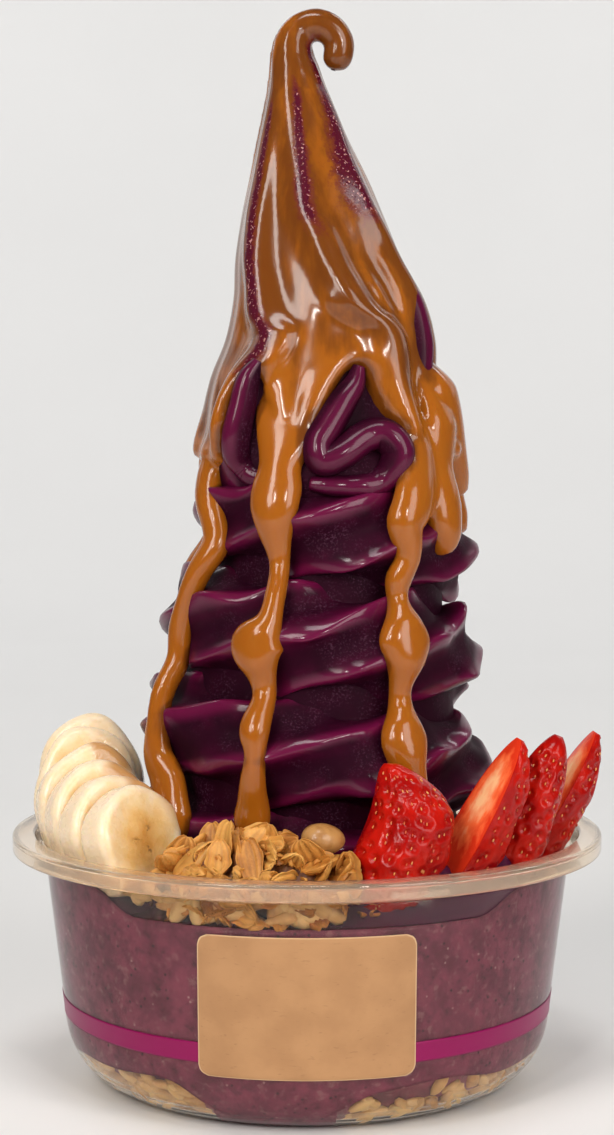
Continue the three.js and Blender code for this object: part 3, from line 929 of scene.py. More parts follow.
@dataclass
class Cup:
    """Clear cup turned from one profile, its printed stripe and its paper label."""

    foot_radius: float = 37.0
    low_radius: float = 48.8
    high_radius: float = 52.5
    corner_rise: float = 14.5
    shoulder_z: float = 44.5
    wall: float = 0.8
    base_lift: float = 1.2
    floor_z: float = 2.0
    sides: int = 192
    stripe_low: float = 13.8
    stripe_high: float = 17.7
    label_width: float = 41.0
    label_height: float = 27.0
    label_z: float = 25.0
    label_corner: float = 2.2
    label_cols: int = 160
    label_front_rows: int = 16
    label_back_rows: int = 8
    label_cut: Pair = (0.985, 0.996)
    paper: float = 0.42
    ink: float = 0.12
    print_gap: float = 0.02
    pole_radius: float = 8.0
    ring_radius: float = 33.0
    corner_round: float = 0.45
    corner_steps: int = 4
    crease: float = math.radians(50)
    paper_crease: float = math.radians(40)
    rim_section: Pairs = (
        (52.1, 44.72), (52.5, 44.52), (54.2, 45.5), (54.6, 48.7), (58.2, 48.7), (58.2, 46.2), (59.0, 46.2),
        (59.0, 49.1), (58.6, 49.5), (54.6, 49.5), (53.4, 45.9), (51.7, 44.92), (52.1, 44.72),
    )

    def flare(self, z: Array) -> Array:
        """How far the wall has flared out above its corner."""
        share = (np.asarray(z) - self.corner_rise) / (self.shoulder_z - self.corner_rise)
        return (self.high_radius - self.low_radius) * np.clip(share, 0, 1.1)

    def outer(self, z: Array) -> Array:
        """Wall radius outside: a quarter ellipse up to the corner, then a straight flare to the shoulder."""
        drop = np.clip(1 - np.asarray(z) / self.corner_rise, 0, 1)
        return self.foot_radius + (self.low_radius - self.foot_radius) * np.sqrt(1 - drop**2) + self.flare(z)

    def inner(self, z: Array) -> Array:
        """Wall radius inside: the same curves set in by the wall, ending on the floor.

        Args:
            z: Heights.

        Returns:
            The radius at each height.
        """
        drop = np.clip((self.corner_rise - np.asarray(z)) / (self.corner_rise - self.wall), 0, 1)
        reach = self.low_radius - self.wall - self.foot_radius
        return self.foot_radius + reach * np.sqrt(1 - drop**2) + self.flare(z)

    def profile(self) -> Array:
        """Section of the shell: from under the base, up the wall to the shoulder, down to the floor inside.

        Returns:
            Radius and height, two columns.
        """
        climb = np.sin(np.linspace(0, 1, 13) * math.pi / 2) ** 2 * self.corner_rise
        outside = np.stack([self.outer(climb), climb], -1)
        fall = self.wall + climb[::-1] * (1 - self.wall / self.corner_rise)
        inside = np.stack([self.inner(fall), fall], -1)
        foot = self.ring_radius
        under = [(self.pole_radius, self.base_lift), (foot - 1.2, self.base_lift), (foot, 0.0)]
        shoulder_inside = (self.high_radius - self.wall, self.shoulder_z + self.wall / 2)
        shoulder = [(self.high_radius, self.shoulder_z), shoulder_inside]
        floor = [(foot + 0.4, self.wall), (foot - 0.8, self.floor_z), (self.pole_radius, self.floor_z)]
        path = np.concatenate([under, outside, shoulder, inside, floor])
        return rounded(path, self.corner_round, self.corner_steps)

    def shell(self) -> Surface:
        """The profile turned once round the axis."""
        radius, height = self.profile().T
        return tube(polar(radius[:, None], ring(self.sides)[None], height[:, None]))

    def rim(self) -> Surface:
        """The rim's section, its corners rounded, carried once round the axis."""
        radius, height = rounded(np.array(self.rim_section), self.corner_round, self.corner_steps)[:-1].T
        return hoop(polar(radius[None], ring(self.sides)[:, None], height[None]))

    def stripe(self) -> Surface:
        """A thin band that follows the wall, its section carried once round the cup.

        Returns:
            The band.
        """
        z = np.linspace(self.stripe_low, self.stripe_high, 10)
        heights = np.concatenate([z, z[::-1]])
        radius = self.outer(heights) + np.repeat([self.ink, self.print_gap], len(z))
        return hoop(polar(radius[None], ring(self.sides)[:, None], heights[None]))

    def label(self) -> Surface:
        """A rounded rectangle of paper bent round the wall: outlines shrunk to the middle, front and back.

        Returns:
            The label, with its rim value 1 on the cut edge.
        """
        half = np.array([self.label_width, self.label_height]) / 2
        turn = ring(self.label_cols) + 1e-3
        core = half - self.label_corner
        spread = np.stack([np.cos(turn), np.sin(turn)], -1)
        reach = 1 / np.max(np.abs(spread) / half, axis=1)
        square = spread * reach[:, None]
        near = np.clip(square, -core, core)
        away = square - near
        length = np.maximum(np.linalg.norm(away, axis=1, keepdims=True), 1e-9)
        outline = near + away / length * np.minimum(length, self.label_corner)
        front, back = self.label_front_rows, self.label_back_rows
        cut_from, cut_to = self.label_cut
        in_front = np.linspace(0.06, cut_from, front)
        behind = np.linspace(cut_from, 0.06, back)
        shares = np.concatenate([in_front, [cut_to, 1.0], behind])
        lifts = np.concatenate([np.full(front, self.paper), [0.36, 0.06], np.full(back, self.print_gap)])
        flat = outline[None] * shares[:, None, None]
        height = self.label_z + flat[..., 1]
        radius = self.outer(height) + lifts[:, None]
        angle = -math.pi / 2 + flat[..., 0] / radius
        rim = ease(shares, *self.label_cut)[:, None]
        return tube(polar(radius, angle, height), {"rim": rim})

    def build(self) -> None:
        """Makes the shell, the milky rim, the stripe and the label."""
        dress(mesh_object("cup_shell", self.shell(), self.crease), ClearPlastic(), Slot.PLASTIC, "cup")
        dress(mesh_object("cup_rim", self.rim(), self.crease), MILKY_PLASTIC, Slot.PLASTIC, "cup")
        dress(mesh_object("cup_stripe", self.stripe()), StripePrint(), Slot.PLASTIC)
        dress(mesh_object("cup_label", self.label(), self.paper_crease), KraftPaper(), Slot.PAPER, "label")


# Oats


@dataclass(frozen=True)
class OatFlake:
    """One rolled oat: a leaf-shaped chip, furrowed along its length, cupped and curled."""

    rows: int = 15
    cols: int = 28
    furrows: float = 4.0
    ragged: float = 0.08
    relief: float = 0.9
    hollow: float = 0.2

    def rings(self, size: Array, curl: Array) -> tuple[Array, Array]:
        """Rings across each flake: leaf half-width times cos, half-thickness times sin, furrowed and bent.

        Args:
            size: Length, width and thickness of each flake, (flakes, 3).
            curl: Bend of each flake along its length, radians over the length.

        Returns:
            Points (flakes, rows, columns, 3) with length along x, width along y, and the furrow share, which
            the finish darkens as painted shade.
        """
        u = -np.cos(np.linspace(0.09, 0.95, self.rows) * math.pi)[None, :, None]
        beta = ring(self.cols)[None, None]
        length, width, thick = (size[:, k, None, None] for k in range(3))
        leaf = (1 - u**2) ** 0.42 * (1 + 0.18 * u)
        across = np.cos(beta)
        ragged = 1 + self.ragged * np.sin(7 * u + 3 * np.sign(across) + length) * across**2
        y = width / 2 * leaf * across * ragged
        ridge = 2 * np.abs(np.cos(self.furrows * TURN / 4 * across)) ** 0.7 - 1
        faces = np.sin(beta) * (1 - u**2) ** 0.3 + self.relief * ridge * leaf
        z = thick / 2 * faces + self.hollow * width * leaf * across**2
        x = length / 2 * u * (1 + self.ragged * np.cos(2 * beta)) + 0 * beta
        bend = curl[:, None, None] / length
        level = np.sin(bend * x) / bend
        lift = (1 - np.cos(bend * x)) / bend + z * np.cos(bend * x)
        level = level - z * np.sin(bend * x)
        furrow = np.broadcast_to(ease(-ridge, 0.0, 1.0), x.shape)
        return xyz(level, y, lift), furrow


def drawn(rng: np.random.Generator, spans: Sequence[Pair], count: int) -> Array:
    """Random sizes, a column for each span that they are drawn from."""
    return np.stack([rng.uniform(*span, count) for span in spans], -1)


def frames(along: Array, face: Array) -> Array:
    """Turning matrices whose x axis is along and whose z axis is as near face as it can be.

    Args:
        along: Directions (n, 3).
        face: Directions (n, 3).

    Returns:
        Matrices (n, 3, 3) with the axes as columns.
    """
    x = unit(along)
    y = unit(np.cross(face, x))
    return np.stack([x, y, np.cross(x, y)], -1)


# Filling


OAT_AT_WALL = OatFlake(6, 8, furrows=2.0, relief=0.2, hollow=-0.12)


@dataclass
class Filling:
    """What fills the cup: acai against the wall over a layer of oats on the floor."""

    cup: Cup
    level: float = 41.0
    front_dip: float = 1.2
    side_rise: float = 2.9
    into_wall: float = 0.45
    mound: float = 6.0
    mound_angle: float = -44.0
    bed_edge: float = 8.6
    bed_middle: float = 6.4
    bed_dip: float = 3.0
    dip_angle: float = -98.0
    sides: int = 160
    oats: int = 320
    heap_oats: int = 30
    heap_span: Pair = (-129, -84)
    heap_oats_z: Pair = (41.2, 45.2)
    heap_oats_scale: float = 1.35
    oat_depth: float = 1.6
    oat_sizes: Pairs = ((4.0, 5.8), (2.3, 3.2), (2.2, 3.0))
    oat: OatFlake = OAT_AT_WALL
    wall_reach: float = 44.0
    rim_reach: float = 51.0
    mound_spread: float = 33.0
    under_rows: int = 14
    side_rows: int = 44
    over_rows: int = 48

    def front(self, angle: Array) -> Array:
        """1 towards the front of the cup and 0 at its sides and back."""
        away = np.abs(np.degrees(wrapped(angle + math.pi / 2)))
        return 1 - ease(away, 38, 50)

    def top(self, radius: Array, angle: Array) -> Array:
        """Height of the acai's open top: lower at the front, lapping up the wall, heaped by the fruit.

        Args:
            radius: Distances from the cup's axis.
            angle: Angles round it.

        Returns:
            The height at each place.
        """
        edge = ease(radius, 40, 51)
        height = self.level + edge * (self.side_rise - (self.side_rise + self.front_dip) * self.front(angle))
        rough = waves(polar(radius, angle, 0 * radius), 7.0, SEEDS.acai_top)
        aside = np.degrees(wrapped(angle - math.radians(self.mound_angle)))
        fruit = np.exp(-((aside / self.mound_spread) ** 4))
        heaped = ease(radius, 35, 41) * (1 - ease(radius, 45, 50.5))
        return height + 0.7 * rough * (1 - edge) + self.mound * fruit * heaped * (1 + 0.25 * rough)

    def from_dip(self, angle: Array) -> Array:
        """Degrees from the place at the front where the oat layer dips."""
        return np.abs(np.degrees(wrapped(angle - math.radians(self.dip_angle))))

    def bed(self, radius: Array, angle: Array) -> Array:
        """Height of the oat layer: highest at the wall, dipping to the floor at the front.

        Args:
            radius: Distances from the cup's axis.
            angle: Angles round it.

        Returns:
            The height at each place.
        """
        open_front = 1 - ease(self.from_dip(angle), 9, 25)
        edge = self.bed_edge + 0.7 * np.sin(5 * angle + 0.6) + 0.4 * np.sin(11 * angle)
        edge = edge + (self.bed_dip - edge) * open_front
        return self.bed_middle + (edge - self.bed_middle) * ease(radius, 8, 40)

    def acai(self) -> Surface:
        """Rings out under the acai, up just inside the wall, and in over its open top.

        Returns:
            The acai, with its open value 1 on top.
        """
        angle = ring(self.sides)[None]
        share = np.linspace(0, 1, self.side_rows)[:, None]
        low = self.bed(np.full_like(angle, self.wall_reach), angle)
        rim = self.top(np.full_like(angle, self.rim_reach), angle)
        side_z = low + (rim - low) * share
        side_r = self.cup.inner(side_z) + self.into_wall
        under_r = side_r[:1] * np.linspace(0.05, 0.98, self.under_rows)[:, None]
        under_z = np.minimum(self.bed(under_r, angle + 0 * under_r), low + 0.2)
        over_r = side_r[-1:] * np.linspace(0.99, 0.02, self.over_rows)[:, None]
        over_z = self.top(over_r, angle + 0 * over_r)
        radius = np.concatenate([under_r, side_r, over_r])
        height = np.concatenate([under_z, side_z, over_z])
        opened = np.repeat([0.0, 1.0], [self.under_rows + self.side_rows, self.over_rows])[:, None]
        return tube(polar(radius, angle, height), {"open": opened})

    def oat_field(self, angle: Array) -> Array:
        """1 where oats lie against the wall near the floor, a little below 0 where acai fills the gap."""
        return -0.1 + 1.1 * ease(self.from_dip(angle), 14, 20)

    def layer(self) -> Surface:
        """Rings out over the floor, up inside the wall behind its oats, and in over the uneven oat layer.

        Returns:
            The layer.
        """
        angle = ring(self.sides)[None]
        high = self.bed(np.full_like(angle, self.wall_reach), angle)
        share = np.linspace(0, 1, 12)[:, None]
        side_z = self.cup.wall + 0.2 + (high - self.cup.wall - 0.2) * share
        side_r = self.cup.inner(side_z) - self.oat_depth * self.oat_field(angle)
        under_r = side_r[:1] * np.linspace(0.05, 0.98, 10)[:, None]
        on_floor = under_r < self.cup.ring_radius
        under_z = np.where(on_floor, self.cup.floor_z - 0.2, self.cup.wall - 0.1) + 0 * angle
        over_r = side_r[-1:] * np.linspace(0.98, 0.05, 18)[:, None]
        over_z = self.bed(over_r, angle + 0 * over_r)
        radius = np.concatenate([under_r, side_r, over_r])
        height = np.concatenate([under_z, side_z, over_z])
        return tube(polar(radius, angle, height), {"open": np.zeros(radius.shape)})

    def base_oats(self) -> Surface:
        """Flakes of the layer on the floor, where it is deep enough to hold them.

        Returns:
            The flakes.
        """
        rng = np.random.default_rng(SEEDS.base_oats)
        turn = rng.uniform(-math.pi, math.pi, self.oats)
        top = self.bed(np.full_like(turn, self.wall_reach), turn)
        keep = top > 5.2
        turn, top = turn[keep], top[keep]
        middle = 1.6 + (top - 2.6) * rng.uniform(0, 1, len(turn))
        return self.pressed_oats(rng, turn, middle, 1.0)

    def front_oats(self) -> Surface:
        """Flakes at the foot of the heap, which rest on the wall under the rim.

        Returns:
            The flakes.
        """
        rng = np.random.default_rng(SEEDS.front_oats)
        turn = np.radians(np.linspace(*self.heap_span, self.heap_oats) + rng.normal(0, 1.5, self.heap_oats))
        middle = rng.uniform(*self.heap_oats_z, self.heap_oats)
        return self.pressed_oats(rng, turn, middle, self.heap_oats_scale)

    def pressed_oats(self, rng: np.random.Generator, turn: Array, middle: Array, scale: float) -> Surface:
        """Flakes laid flat on the inside of the wall: their own length and width run round and up the wall.

        Args:
            rng: Source of the flakes' sizes, turns and tones.
            turn: Angle of each flake round the cup.
            middle: Height of each flake's middle.
            scale: Size of the flakes against those on the floor.

        Returns:
            The flakes with their tones and the furrow shares for their painted shade.
        """
        count = len(turn)
        size = drawn(rng, self.oat_sizes, count)
        rings, furrow = self.oat.rings(size * [scale, scale, 1], np.full(count, 1e-3))
        spin = rng.normal(0, 0.8, count)[:, None, None]
        along, across, depth = (rings[..., k] for k in range(3))
        round_way = along * np.cos(spin) - across * np.sin(spin)
        up_way = along * np.sin(spin) + across * np.cos(spin)
        height = np.clip(middle[:, None, None] + 0.8 * up_way, self.cup.wall + 0.1, None)
        sunk = np.abs(depth - depth.max((1, 2), keepdims=True))
        back = rng.uniform(-0.5, 0.8, count)[:, None, None]
        radius = self.cup.inner(height) - back.clip(-0.35, None) - 0.85 * sunk
        angle = turn[:, None, None] + round_way / self.cup.inner(height)
        tone = np.broadcast_to(rng.uniform(-0.25, 0.6, count)[:, None, None], furrow.shape)
        return tube(polar(radius, angle, height), {"tone": tone, "furrow": furrow})

    def build(self) -> None:
        """Makes the acai, the layer on the floor and the oats that lie against the wall."""
        dress(mesh_object("acai_fill", self.acai()), AcaiPuree(), Slot.ACAI, "acai_filling")
        dress(mesh_object("base_layer", self.layer()), AcaiPuree(), Slot.GRANOLA, "granola_bed")
        dress(mesh_object("base_oats", self.base_oats()), SOAKED_OATS_PAINTED_LIGHTER, Slot.GRANOLA, "granola_bed")
        dress(mesh_object("front_oats", self.front_oats()), SOAKED_OATS_PAINTED_LIGHTER, Slot.GRANOLA, "granola_heap")


# Swirl


@dataclass
class RadiusMap:
    """Outermost radius of a surface round an upright axis, by angle and height."""

    points: Array
    centre_x: float
    low: float = 40.0
    high: float = 215.0
    step: float = 0.8
    columns: int = 240

    def __post_init__(self) -> None:
        """Sorts the points into angle and height boxes, keeps the largest radius, and closes empty boxes."""
        rows = int((self.high - self.low) / self.step)
        x, y, z = (self.points - [self.centre_x, 0, 0]).T
        column = ((np.arctan2(y, x) / TURN) % 1 * self.columns).astype(int) % self.columns
        row = ((z - self.low) / self.step).astype(int)
        inside = (row >= 0) & (row < rows)
        self.table = np.zeros((rows, self.columns))
        np.maximum.at(self.table, (row[inside], column[inside]), np.hypot(x, y)[inside])
        around = [np.roll(np.roll(self.table, i, 0), j, 1) for i in (-1, 0, 1) for j in (-1, 0, 1)]
        self.table = np.where(self.table > 0, self.table, np.max(around, axis=0))

    def bridged(self, rows: int, share: float) -> "RadiusMap":
        """This map with its hollows filled: the largest radius within some rows, mixed in by share.

        Args:
            rows: Rows searched to either side.
            share: How far the hollows are filled.

        Returns:
            This map.
        """
        padded = np.pad(self.table, ((rows, rows), (0, 0)), mode="edge")
        tallest = np.max([padded[k:k + len(self.table)] for k in range(2 * rows + 1)], axis=0)
        self.table = self.table + share * (tallest - self.table)
        return self

    def evened(self, rows: float, columns: float) -> Array:
        """The table blurred by bell curves of these widths, wrapped round.

        Args:
            rows: Width of the blur in height.
            columns: Width of the blur round the axis.

        Returns:
            The blurred table.
        """
        reach = int(3 * rows)
        tall = np.pad(self.table, ((reach, reach), (0, 0)), mode="edge")
        out = sum(w * tall[k:k + len(self.table)] for k, w in enumerate(bell(rows, reach)))
        reach = int(3 * columns)
        return sum(w * np.roll(out, k - reach, 1) for k, w in enumerate(bell(columns, reach)))

    def read(self, table: Array, angle: Array, height: Array) -> Array:
        """Bilinear look-up of a table of this map's shape.

        Args:
            table: The table.
            angle: Angles round the axis.
            height: Heights along it.

        Returns:
            The radius at each place.
        """
        column = (np.asarray(angle) / TURN) % 1 * self.columns - 0.5
        row = np.clip((np.asarray(height) - self.low) / self.step - 0.5, 0, len(self.table) - 1.001)
        c0 = np.floor(column).astype(int)
        r0 = np.floor(row).astype(int)
        cf, rf = column - c0, row - r0
        left, right = c0 % self.columns, (c0 + 1) % self.columns
        lower = table[r0, left] * (1 - cf) + table[r0, right] * cf
        upper = table[r0 + 1, left] * (1 - cf) + table[r0 + 1, right] * cf
        return lower * (1 - rf) + upper * rf


@dataclass(frozen=True)
class RidgeBand:
    """A band beside one of the peak's ridge lines: degrees aside and across, and its lower and upper end."""

    ridge: int
    aside: float
    low: float
    high: float
    width: float = 4.4


@dataclass
class Swirl:
    """Piped acai swirl: a fluted rope wound up a cone, a pulled peak with a curl, and caramel over it."""

    centre_x: float = 1.6
    rope_radius: float = 12.0
    top_rope_radius: float = 11.3
    pitch: float = 21.3
    first_z: float = 50.2
    first_turn: float = -0.6
    last_turn: float = 3.55
    start_angle: float = math.radians(199.4)
    lobes: int = 6
    lobe_depth: float = 0.25
    lip_round: float = 0.13
    twist: float = 7 / 6
    lean: float = 2.6
    floor_z: float = 38.5
    core_top: float = 124.0
    core_inset: float = 7.0
    rope_rows: int = 430
    rope_cols: int = 108
    peak_rows: int = 230
    peak_cols: int = 144
    coat: float = 1.2
    crest: float = 0.22
    edge_radius: float = 21.0
    edge_sink: float = 2.2
    window_z: float = 146.0
    neck_z: float = 196.0
    curl_z: float = 198.0
    curl_x: float = 1.2
    bead_rows: int = 150
    bead_cols: int = 28
    drip_rows: int = 120
    drip_cols: int = 32
    drip_sink: float = 3.0
    sauce_voxel: float = 0.56
    sauce_rounds: int = 3
    # Height and outer radius of the coils
    outline: Pairs = (
        (41, 35.5), (66, 35.4), (80, 34.4), (95, 31.4), (108, 29.4), (126, 25),
    )
    # Sideways shift, height and radius up the peak and round its curl
    stations: Triples = (
        (2.4, 112, 23), (2.2, 120, 26), (0.4, 131, 24.3), (0.5, 139.3, 22.8), (2.2, 147.2, 21.4),
        (2.1, 155.2, 19.7), (0.3, 163, 17.5), (-0.7, 171, 15.2), (-1.4, 178.8, 12.5), (-2.5, 186.7, 9.5),
        (-3.2, 193.5, 7.2), (-4, 199.2, 5.4), (-4.5, 202.7, 4.4), (-4.3, 205.9, 3.8), (-2.9, 208.3, 3.2),
        (0.2, 209.2, 3.2), (3, 208.2, 3.1), (4.7, 205.8, 3.0), (4.6, 203.6, 3.0), (4.2, 202.3, 2.85),
        (3.9, 201.4, 2.4), (3.7, 200.8, 1.7), (3.6, 200.45, 0.9), (3.57, 200.35, 0.3),
    )
    # Height and angle down each ridge line of the peak
    ridges: tuple[Pairs, ...] = (
        ((200, -138), (174, -136), (154, -132), (147, -121), (138, -129), (124, -137)),
        ((200, -92), (175, -95), (167, -87), (154, -76), (148, -58), (136, -48), (120, -50)),
        ((200, -20), (190, -30), (180, -42), (165, -33), (150, -28), (120, -20)),
        ((200, 26), (160, 22), (120, 14)),
        ((200, 82), (160, 74), (120, 66)),
        ((200, 146), (160, 138), (120, 128)),
    )
    folds: tuple[RidgeBand, ...] = (
        RidgeBand(0, 10, 128, 158), RidgeBand(1, 9, 134, 172), RidgeBand(1, 20, 132, 164),
        RidgeBand(1, -12, 138, 160), RidgeBand(2, -14, 130, 168), RidgeBand(3, 10, 126, 166),
        RidgeBand(4, -9, 126, 170), RidgeBand(5, -10, 126, 168), RidgeBand(5, 12, 126, 156),
    )
    streaks: tuple[RidgeBand, ...] = (
        RidgeBand(0, 0, 136, 197, 4.6), RidgeBand(1, 0, 164, 200, 7.0), RidgeBand(2, -4, 166, 209, 17.0),
        RidgeBand(3, 0, 158, 198, 8.0), RidgeBand(4, 0, 150, 196, 7.0), RidgeBand(5, 0, 162, 199, 10.0),
    )
    # Angle and height along the lower edge of the caramel
    edge: Pairs = (
        (-180, 123), (-160, 122), (-139, 122), (-131, 127), (-127, 137), (-123, 141.5), (-119, 140.5),
        (-117, 133), (-113, 127), (-109, 124), (-99, 124), (-94, 127), (-86, 131), (-78, 138), (-70, 142),
        (-64, 137), (-57, 131), (-51, 126), (-47, 123), (-30, 122), (-18, 123), (0, 124), (14, 122),
        (30, 133), (48, 128), (58, 119), (70, 122), (84, 136), (97, 126), (106, 119), (118, 130),
        (132, 138), (144, 124), (152, 119), (166, 130),
    )
    # Angle, height and half-width down each runnel of caramel
    drips: tuple[Triples, ...] = (
        ((-150, 150, 4.0), (-149, 138, 5.0), (-151, 127.5, 4.4), (-151, 119.5, 3.6), (-143.5, 112, 3.0),
         (-140, 107, 2.9), (-144.5, 101.5, 2.4), (-148.5, 96.5, 2.3), (-152, 90.5, 2.6), (-151.5, 83, 2.1),
         (-151.5, 75, 2.0), (-152, 70, 2.6), (-152, 66, 3.6), (-149.5, 62.5, 4.4), (-146, 59, 4.8),
         (-142, 55, 4.4), (-138.5, 51, 3.4)),
        ((-98, 152, 6.0), (-101, 141, 10.4), (-102.5, 133, 10.0), (-104.5, 127, 6.4), (-106, 122.6, 4.3),
         (-106.5, 118.5, 4.9), (-107, 114.5, 4.7), (-106.5, 110, 3.4), (-105, 105, 2.1),
         (-104.8, 99.5, 2.0), (-106, 94, 2.5), (-110, 89, 5.4), (-108.5, 83.5, 2.9),
         (-107.5, 79, 2.3), (-109, 73.5, 3.0), (-108.4, 69, 2.1), (-109.6, 63, 2.6), (-110.3, 58.5, 3.4),
         (-111.3, 53, 5.2)),
        ((-38, 150, 4.0), (-40, 136, 6.0), (-43, 130, 5.6), (-46.5, 121.5, 4.8), (-52, 115, 4.5),
         (-55.5, 111.5, 3.9),
         (-54.2, 105.5, 2.5), (-57.5, 101, 2.6), (-58, 96.5, 2.1), (-58.3, 90.5, 5.4), (-58.5, 87, 4.8),
         (-59.7, 81.5, 2.3), (-60, 77, 2.5), (-61, 71.5, 4.8), (-60, 66, 3.6), (-58.5, 62, 3.2),
         (-59, 58, 3.6)),
        ((-16, 148, 4.0), (-18, 136, 5.4), (-12, 126, 4.6), (-7, 120, 4.0), (-4, 116.5, 3.0)),
        ((-26, 148, 4.0), (-26, 132, 5.2), (-32, 121, 4.8), (-34, 113, 4.6), (-33, 108.2, 3.6),
         (-31, 106.4, 2.2)),
        ((20, 146, 4.0), (16, 132, 5.0), (14, 121, 4.4), (17, 113, 4.2), (15, 108, 3.0)),
        ((58, 150, 5.2), (58, 131, 5.2), (60, 118, 4.0), (58, 106, 3.0), (62, 96, 4.2), (64, 86, 2.6),
         (62, 77, 3.2), (63, 70, 3.8)),
        ((104, 150, 5.0), (104, 131, 5.0), (101, 118, 3.8), (104, 106, 2.6), (100, 96, 3.0), (98, 89, 3.6)),
        ((150, 150, 5.0), (150, 131, 5.2), (148, 118, 4.2), (143, 106, 3.0), (146, 95, 4.4),
         (141, 84, 2.6), (143, 74, 3.0),
         (139, 65, 3.8)),
    )
    # Angle, height and radius along the two beads of acai under the caramel's edge
    fold: Triples = (
        (-67, 141.5, 1.6), (-70, 138, 2.5), (-76.5, 134.6, 2.9), (-83.5, 130.3, 3.0), (-88.5, 126.6, 3.0),
        (-86.5, 123.6, 2.9), (-78.6, 124.8, 2.8), (-68, 127.8, 2.8), (-59, 128.6, 2.9), (-54, 125.4, 2.9),
        (-56.5, 121.2, 2.8), (-63, 119, 2.7), (-72, 118.6, 2.6), (-83, 118.8, 2.4), (-92, 119.2, 2.0),
    )
    left_lip: Triples = (
        (-118, 142.5, 1.6), (-122.5, 139, 2.3), (-125, 133.2, 2.4), (-127.5, 127.4, 2.5),
        (-128.5, 123.6, 2.5),
        (-123, 120.8, 2.4), (-115.5, 120.3, 2.2), (-110, 121.4, 1.8),
    )

    def cone(self, height: Array) -> Array:
        """Outer radius of the coils at a height, straight between the outline's points."""
        table = np.array(self.outline)
        return np.interp(height, table[:, 0], table[:, 1])

    def axis(self, height: Array) -> Array:
        """How far the coils' axis leans sideways at a height."""
        return self.centre_x + self.lean * ease(height, 85, 108)

    def rope(self) -> Surface:
        """Star section on a helix up a cone: reach = radius x (1 - depth x |sin 3a|), turned as it climbs.

        Returns:
            The rope, with its lip value 1 along its edges, where the finish paints light, and low in the
            flutes, where it paints shade.
        """
        turn = np.linspace(self.first_turn, self.last_turn, self.rope_rows)[:, None]
        share = np.arange(self.rope_cols) / self.rope_cols
        per = self.lobes * share
        off = 2 * (per % 1) - 1
        bunched = (np.floor(per) + 0.5 + 0.5 * np.sign(off) * np.abs(off) ** 0.8) / self.lobes
        around = (bunched * TURN)[None]
        height = self.first_z + self.pitch * turn
        closing = ease(turn, 1.5, 3.4)
        rope = self.rope_radius + (self.top_rope_radius - self.rope_radius) * closing
        rope = rope * (1 - 0.25 * ease(turn, self.last_turn - 0.25, self.last_turn))
        centre = self.cone(height) - rope
        valley = np.sqrt(np.sin(self.lobes / 2 * around) ** 2 + self.lip_round**2) - self.lip_round
        depth = self.lobe_depth * (1 + 0.16 * np.cos(2.3 * turn * TURN / 2 + 3 * around))
        reach = rope * (1 - depth * valley)
        direction = around - self.twist * turn * TURN
        out = centre + reach * np.cos(direction)
        z = height + reach * np.sin(direction)
        angle = self.start_angle - turn * TURN
        points = polar(out, angle + 0 * out, z)
        # The lip value paints light on the crests and shade in the flutes.
        lip = 1 - valley
        uneven = 0.4 * waves(points, 11, SEEDS.rope) + 0.6 * lip**2 * waves(points, 15, SEEDS.rope_lips)
        points = points + uneven[..., None] * polar(np.ones_like(out), angle + 0 * out, 0 * out)
        points[..., 2] += 1.3 * lip**2 * waves(points, 17, SEEDS.rope_rise)
        points[..., 2] = np.maximum(points[..., 2], self.floor_z)
        points[..., 0] += self.axis(points[..., 2])
        return tube(points, {"lip": lip})

    def core(self) -> Surface:
        """Plain cone inside the coils that closes the gaps between them, its lip value 0 so that it is
        painted dark as shade.

        Returns:
            The cone.
        """
        height = np.linspace(self.floor_z, self.core_top, 40)[:, None]
        angle = ring(96)[None]
        points = polar(self.cone(height) - self.core_inset + 0 * angle, angle, height + 0 * angle)
        points[..., 0] += self.axis(points[..., 2])
        # Lip value 0: the core is painted dark as shade in the gaps.
        return tube(points, {"lip": np.zeros((1, 1))})

    def spine(self) -> tuple[Array, Array, Array]:
        """Middle line of the peak: a curve through its stations.

        Returns:
            Its points, the sideways direction at each, which is level below the curl and square to the
            line in it, and the peak's radius there.
        """
        line = spline(self.stations, self.peak_rows)
        middle = np.stack([line[:, 0] + self.centre_x, 0 * line[:, 0], line[:, 1]], -1)
        run = unit(np.gradient(middle, axis=0))
        climbing = np.arange(self.peak_rows) < np.argmax(middle[:, 2])
        level = np.where(climbing, 1 - ease(middle[:, 2], 192, 204), 0)[:, None]
        square = np.stack([run[:, 2], 0 * run[:, 0], -run[:, 0]], -1)
        side = level * np.array([1.0, 0, 0]) + (1 - level) * square
        return middle, unit(side), line[:, 2]

    def beside(self, number: int, height: Array, angle: Array) -> Array:
        """Degrees round the peak from one of its ridge lines.

        Args:
            number: Which ridge line it is.
            height: Heights on the peak.
            angle: Angles round it.

        Returns:
            The degrees at each place.
        """
        table = spline(self.ridges[number], 120)[::-1]
        line = np.radians(np.interp(height, table[:, 0], table[:, 1]))
        return np.degrees(wrapped(angle - line))

    def ridge_field(self, height: Array, angle: Array) -> Array:
        """1 on the crests of the peak's ridges, falling off as a bell to either side.

        Args:
            height: Heights on the peak.
            angle: Angles round it.

        Returns:
            The share at each place.
        """
        width = np.interp(height, [120, 160, 200], [9, 11, 20])
        lines = [self.beside(k, height, angle) for k in range(len(self.ridges))]
        return np.max([np.exp(-((line / width) ** 2)) for line in lines], axis=0)

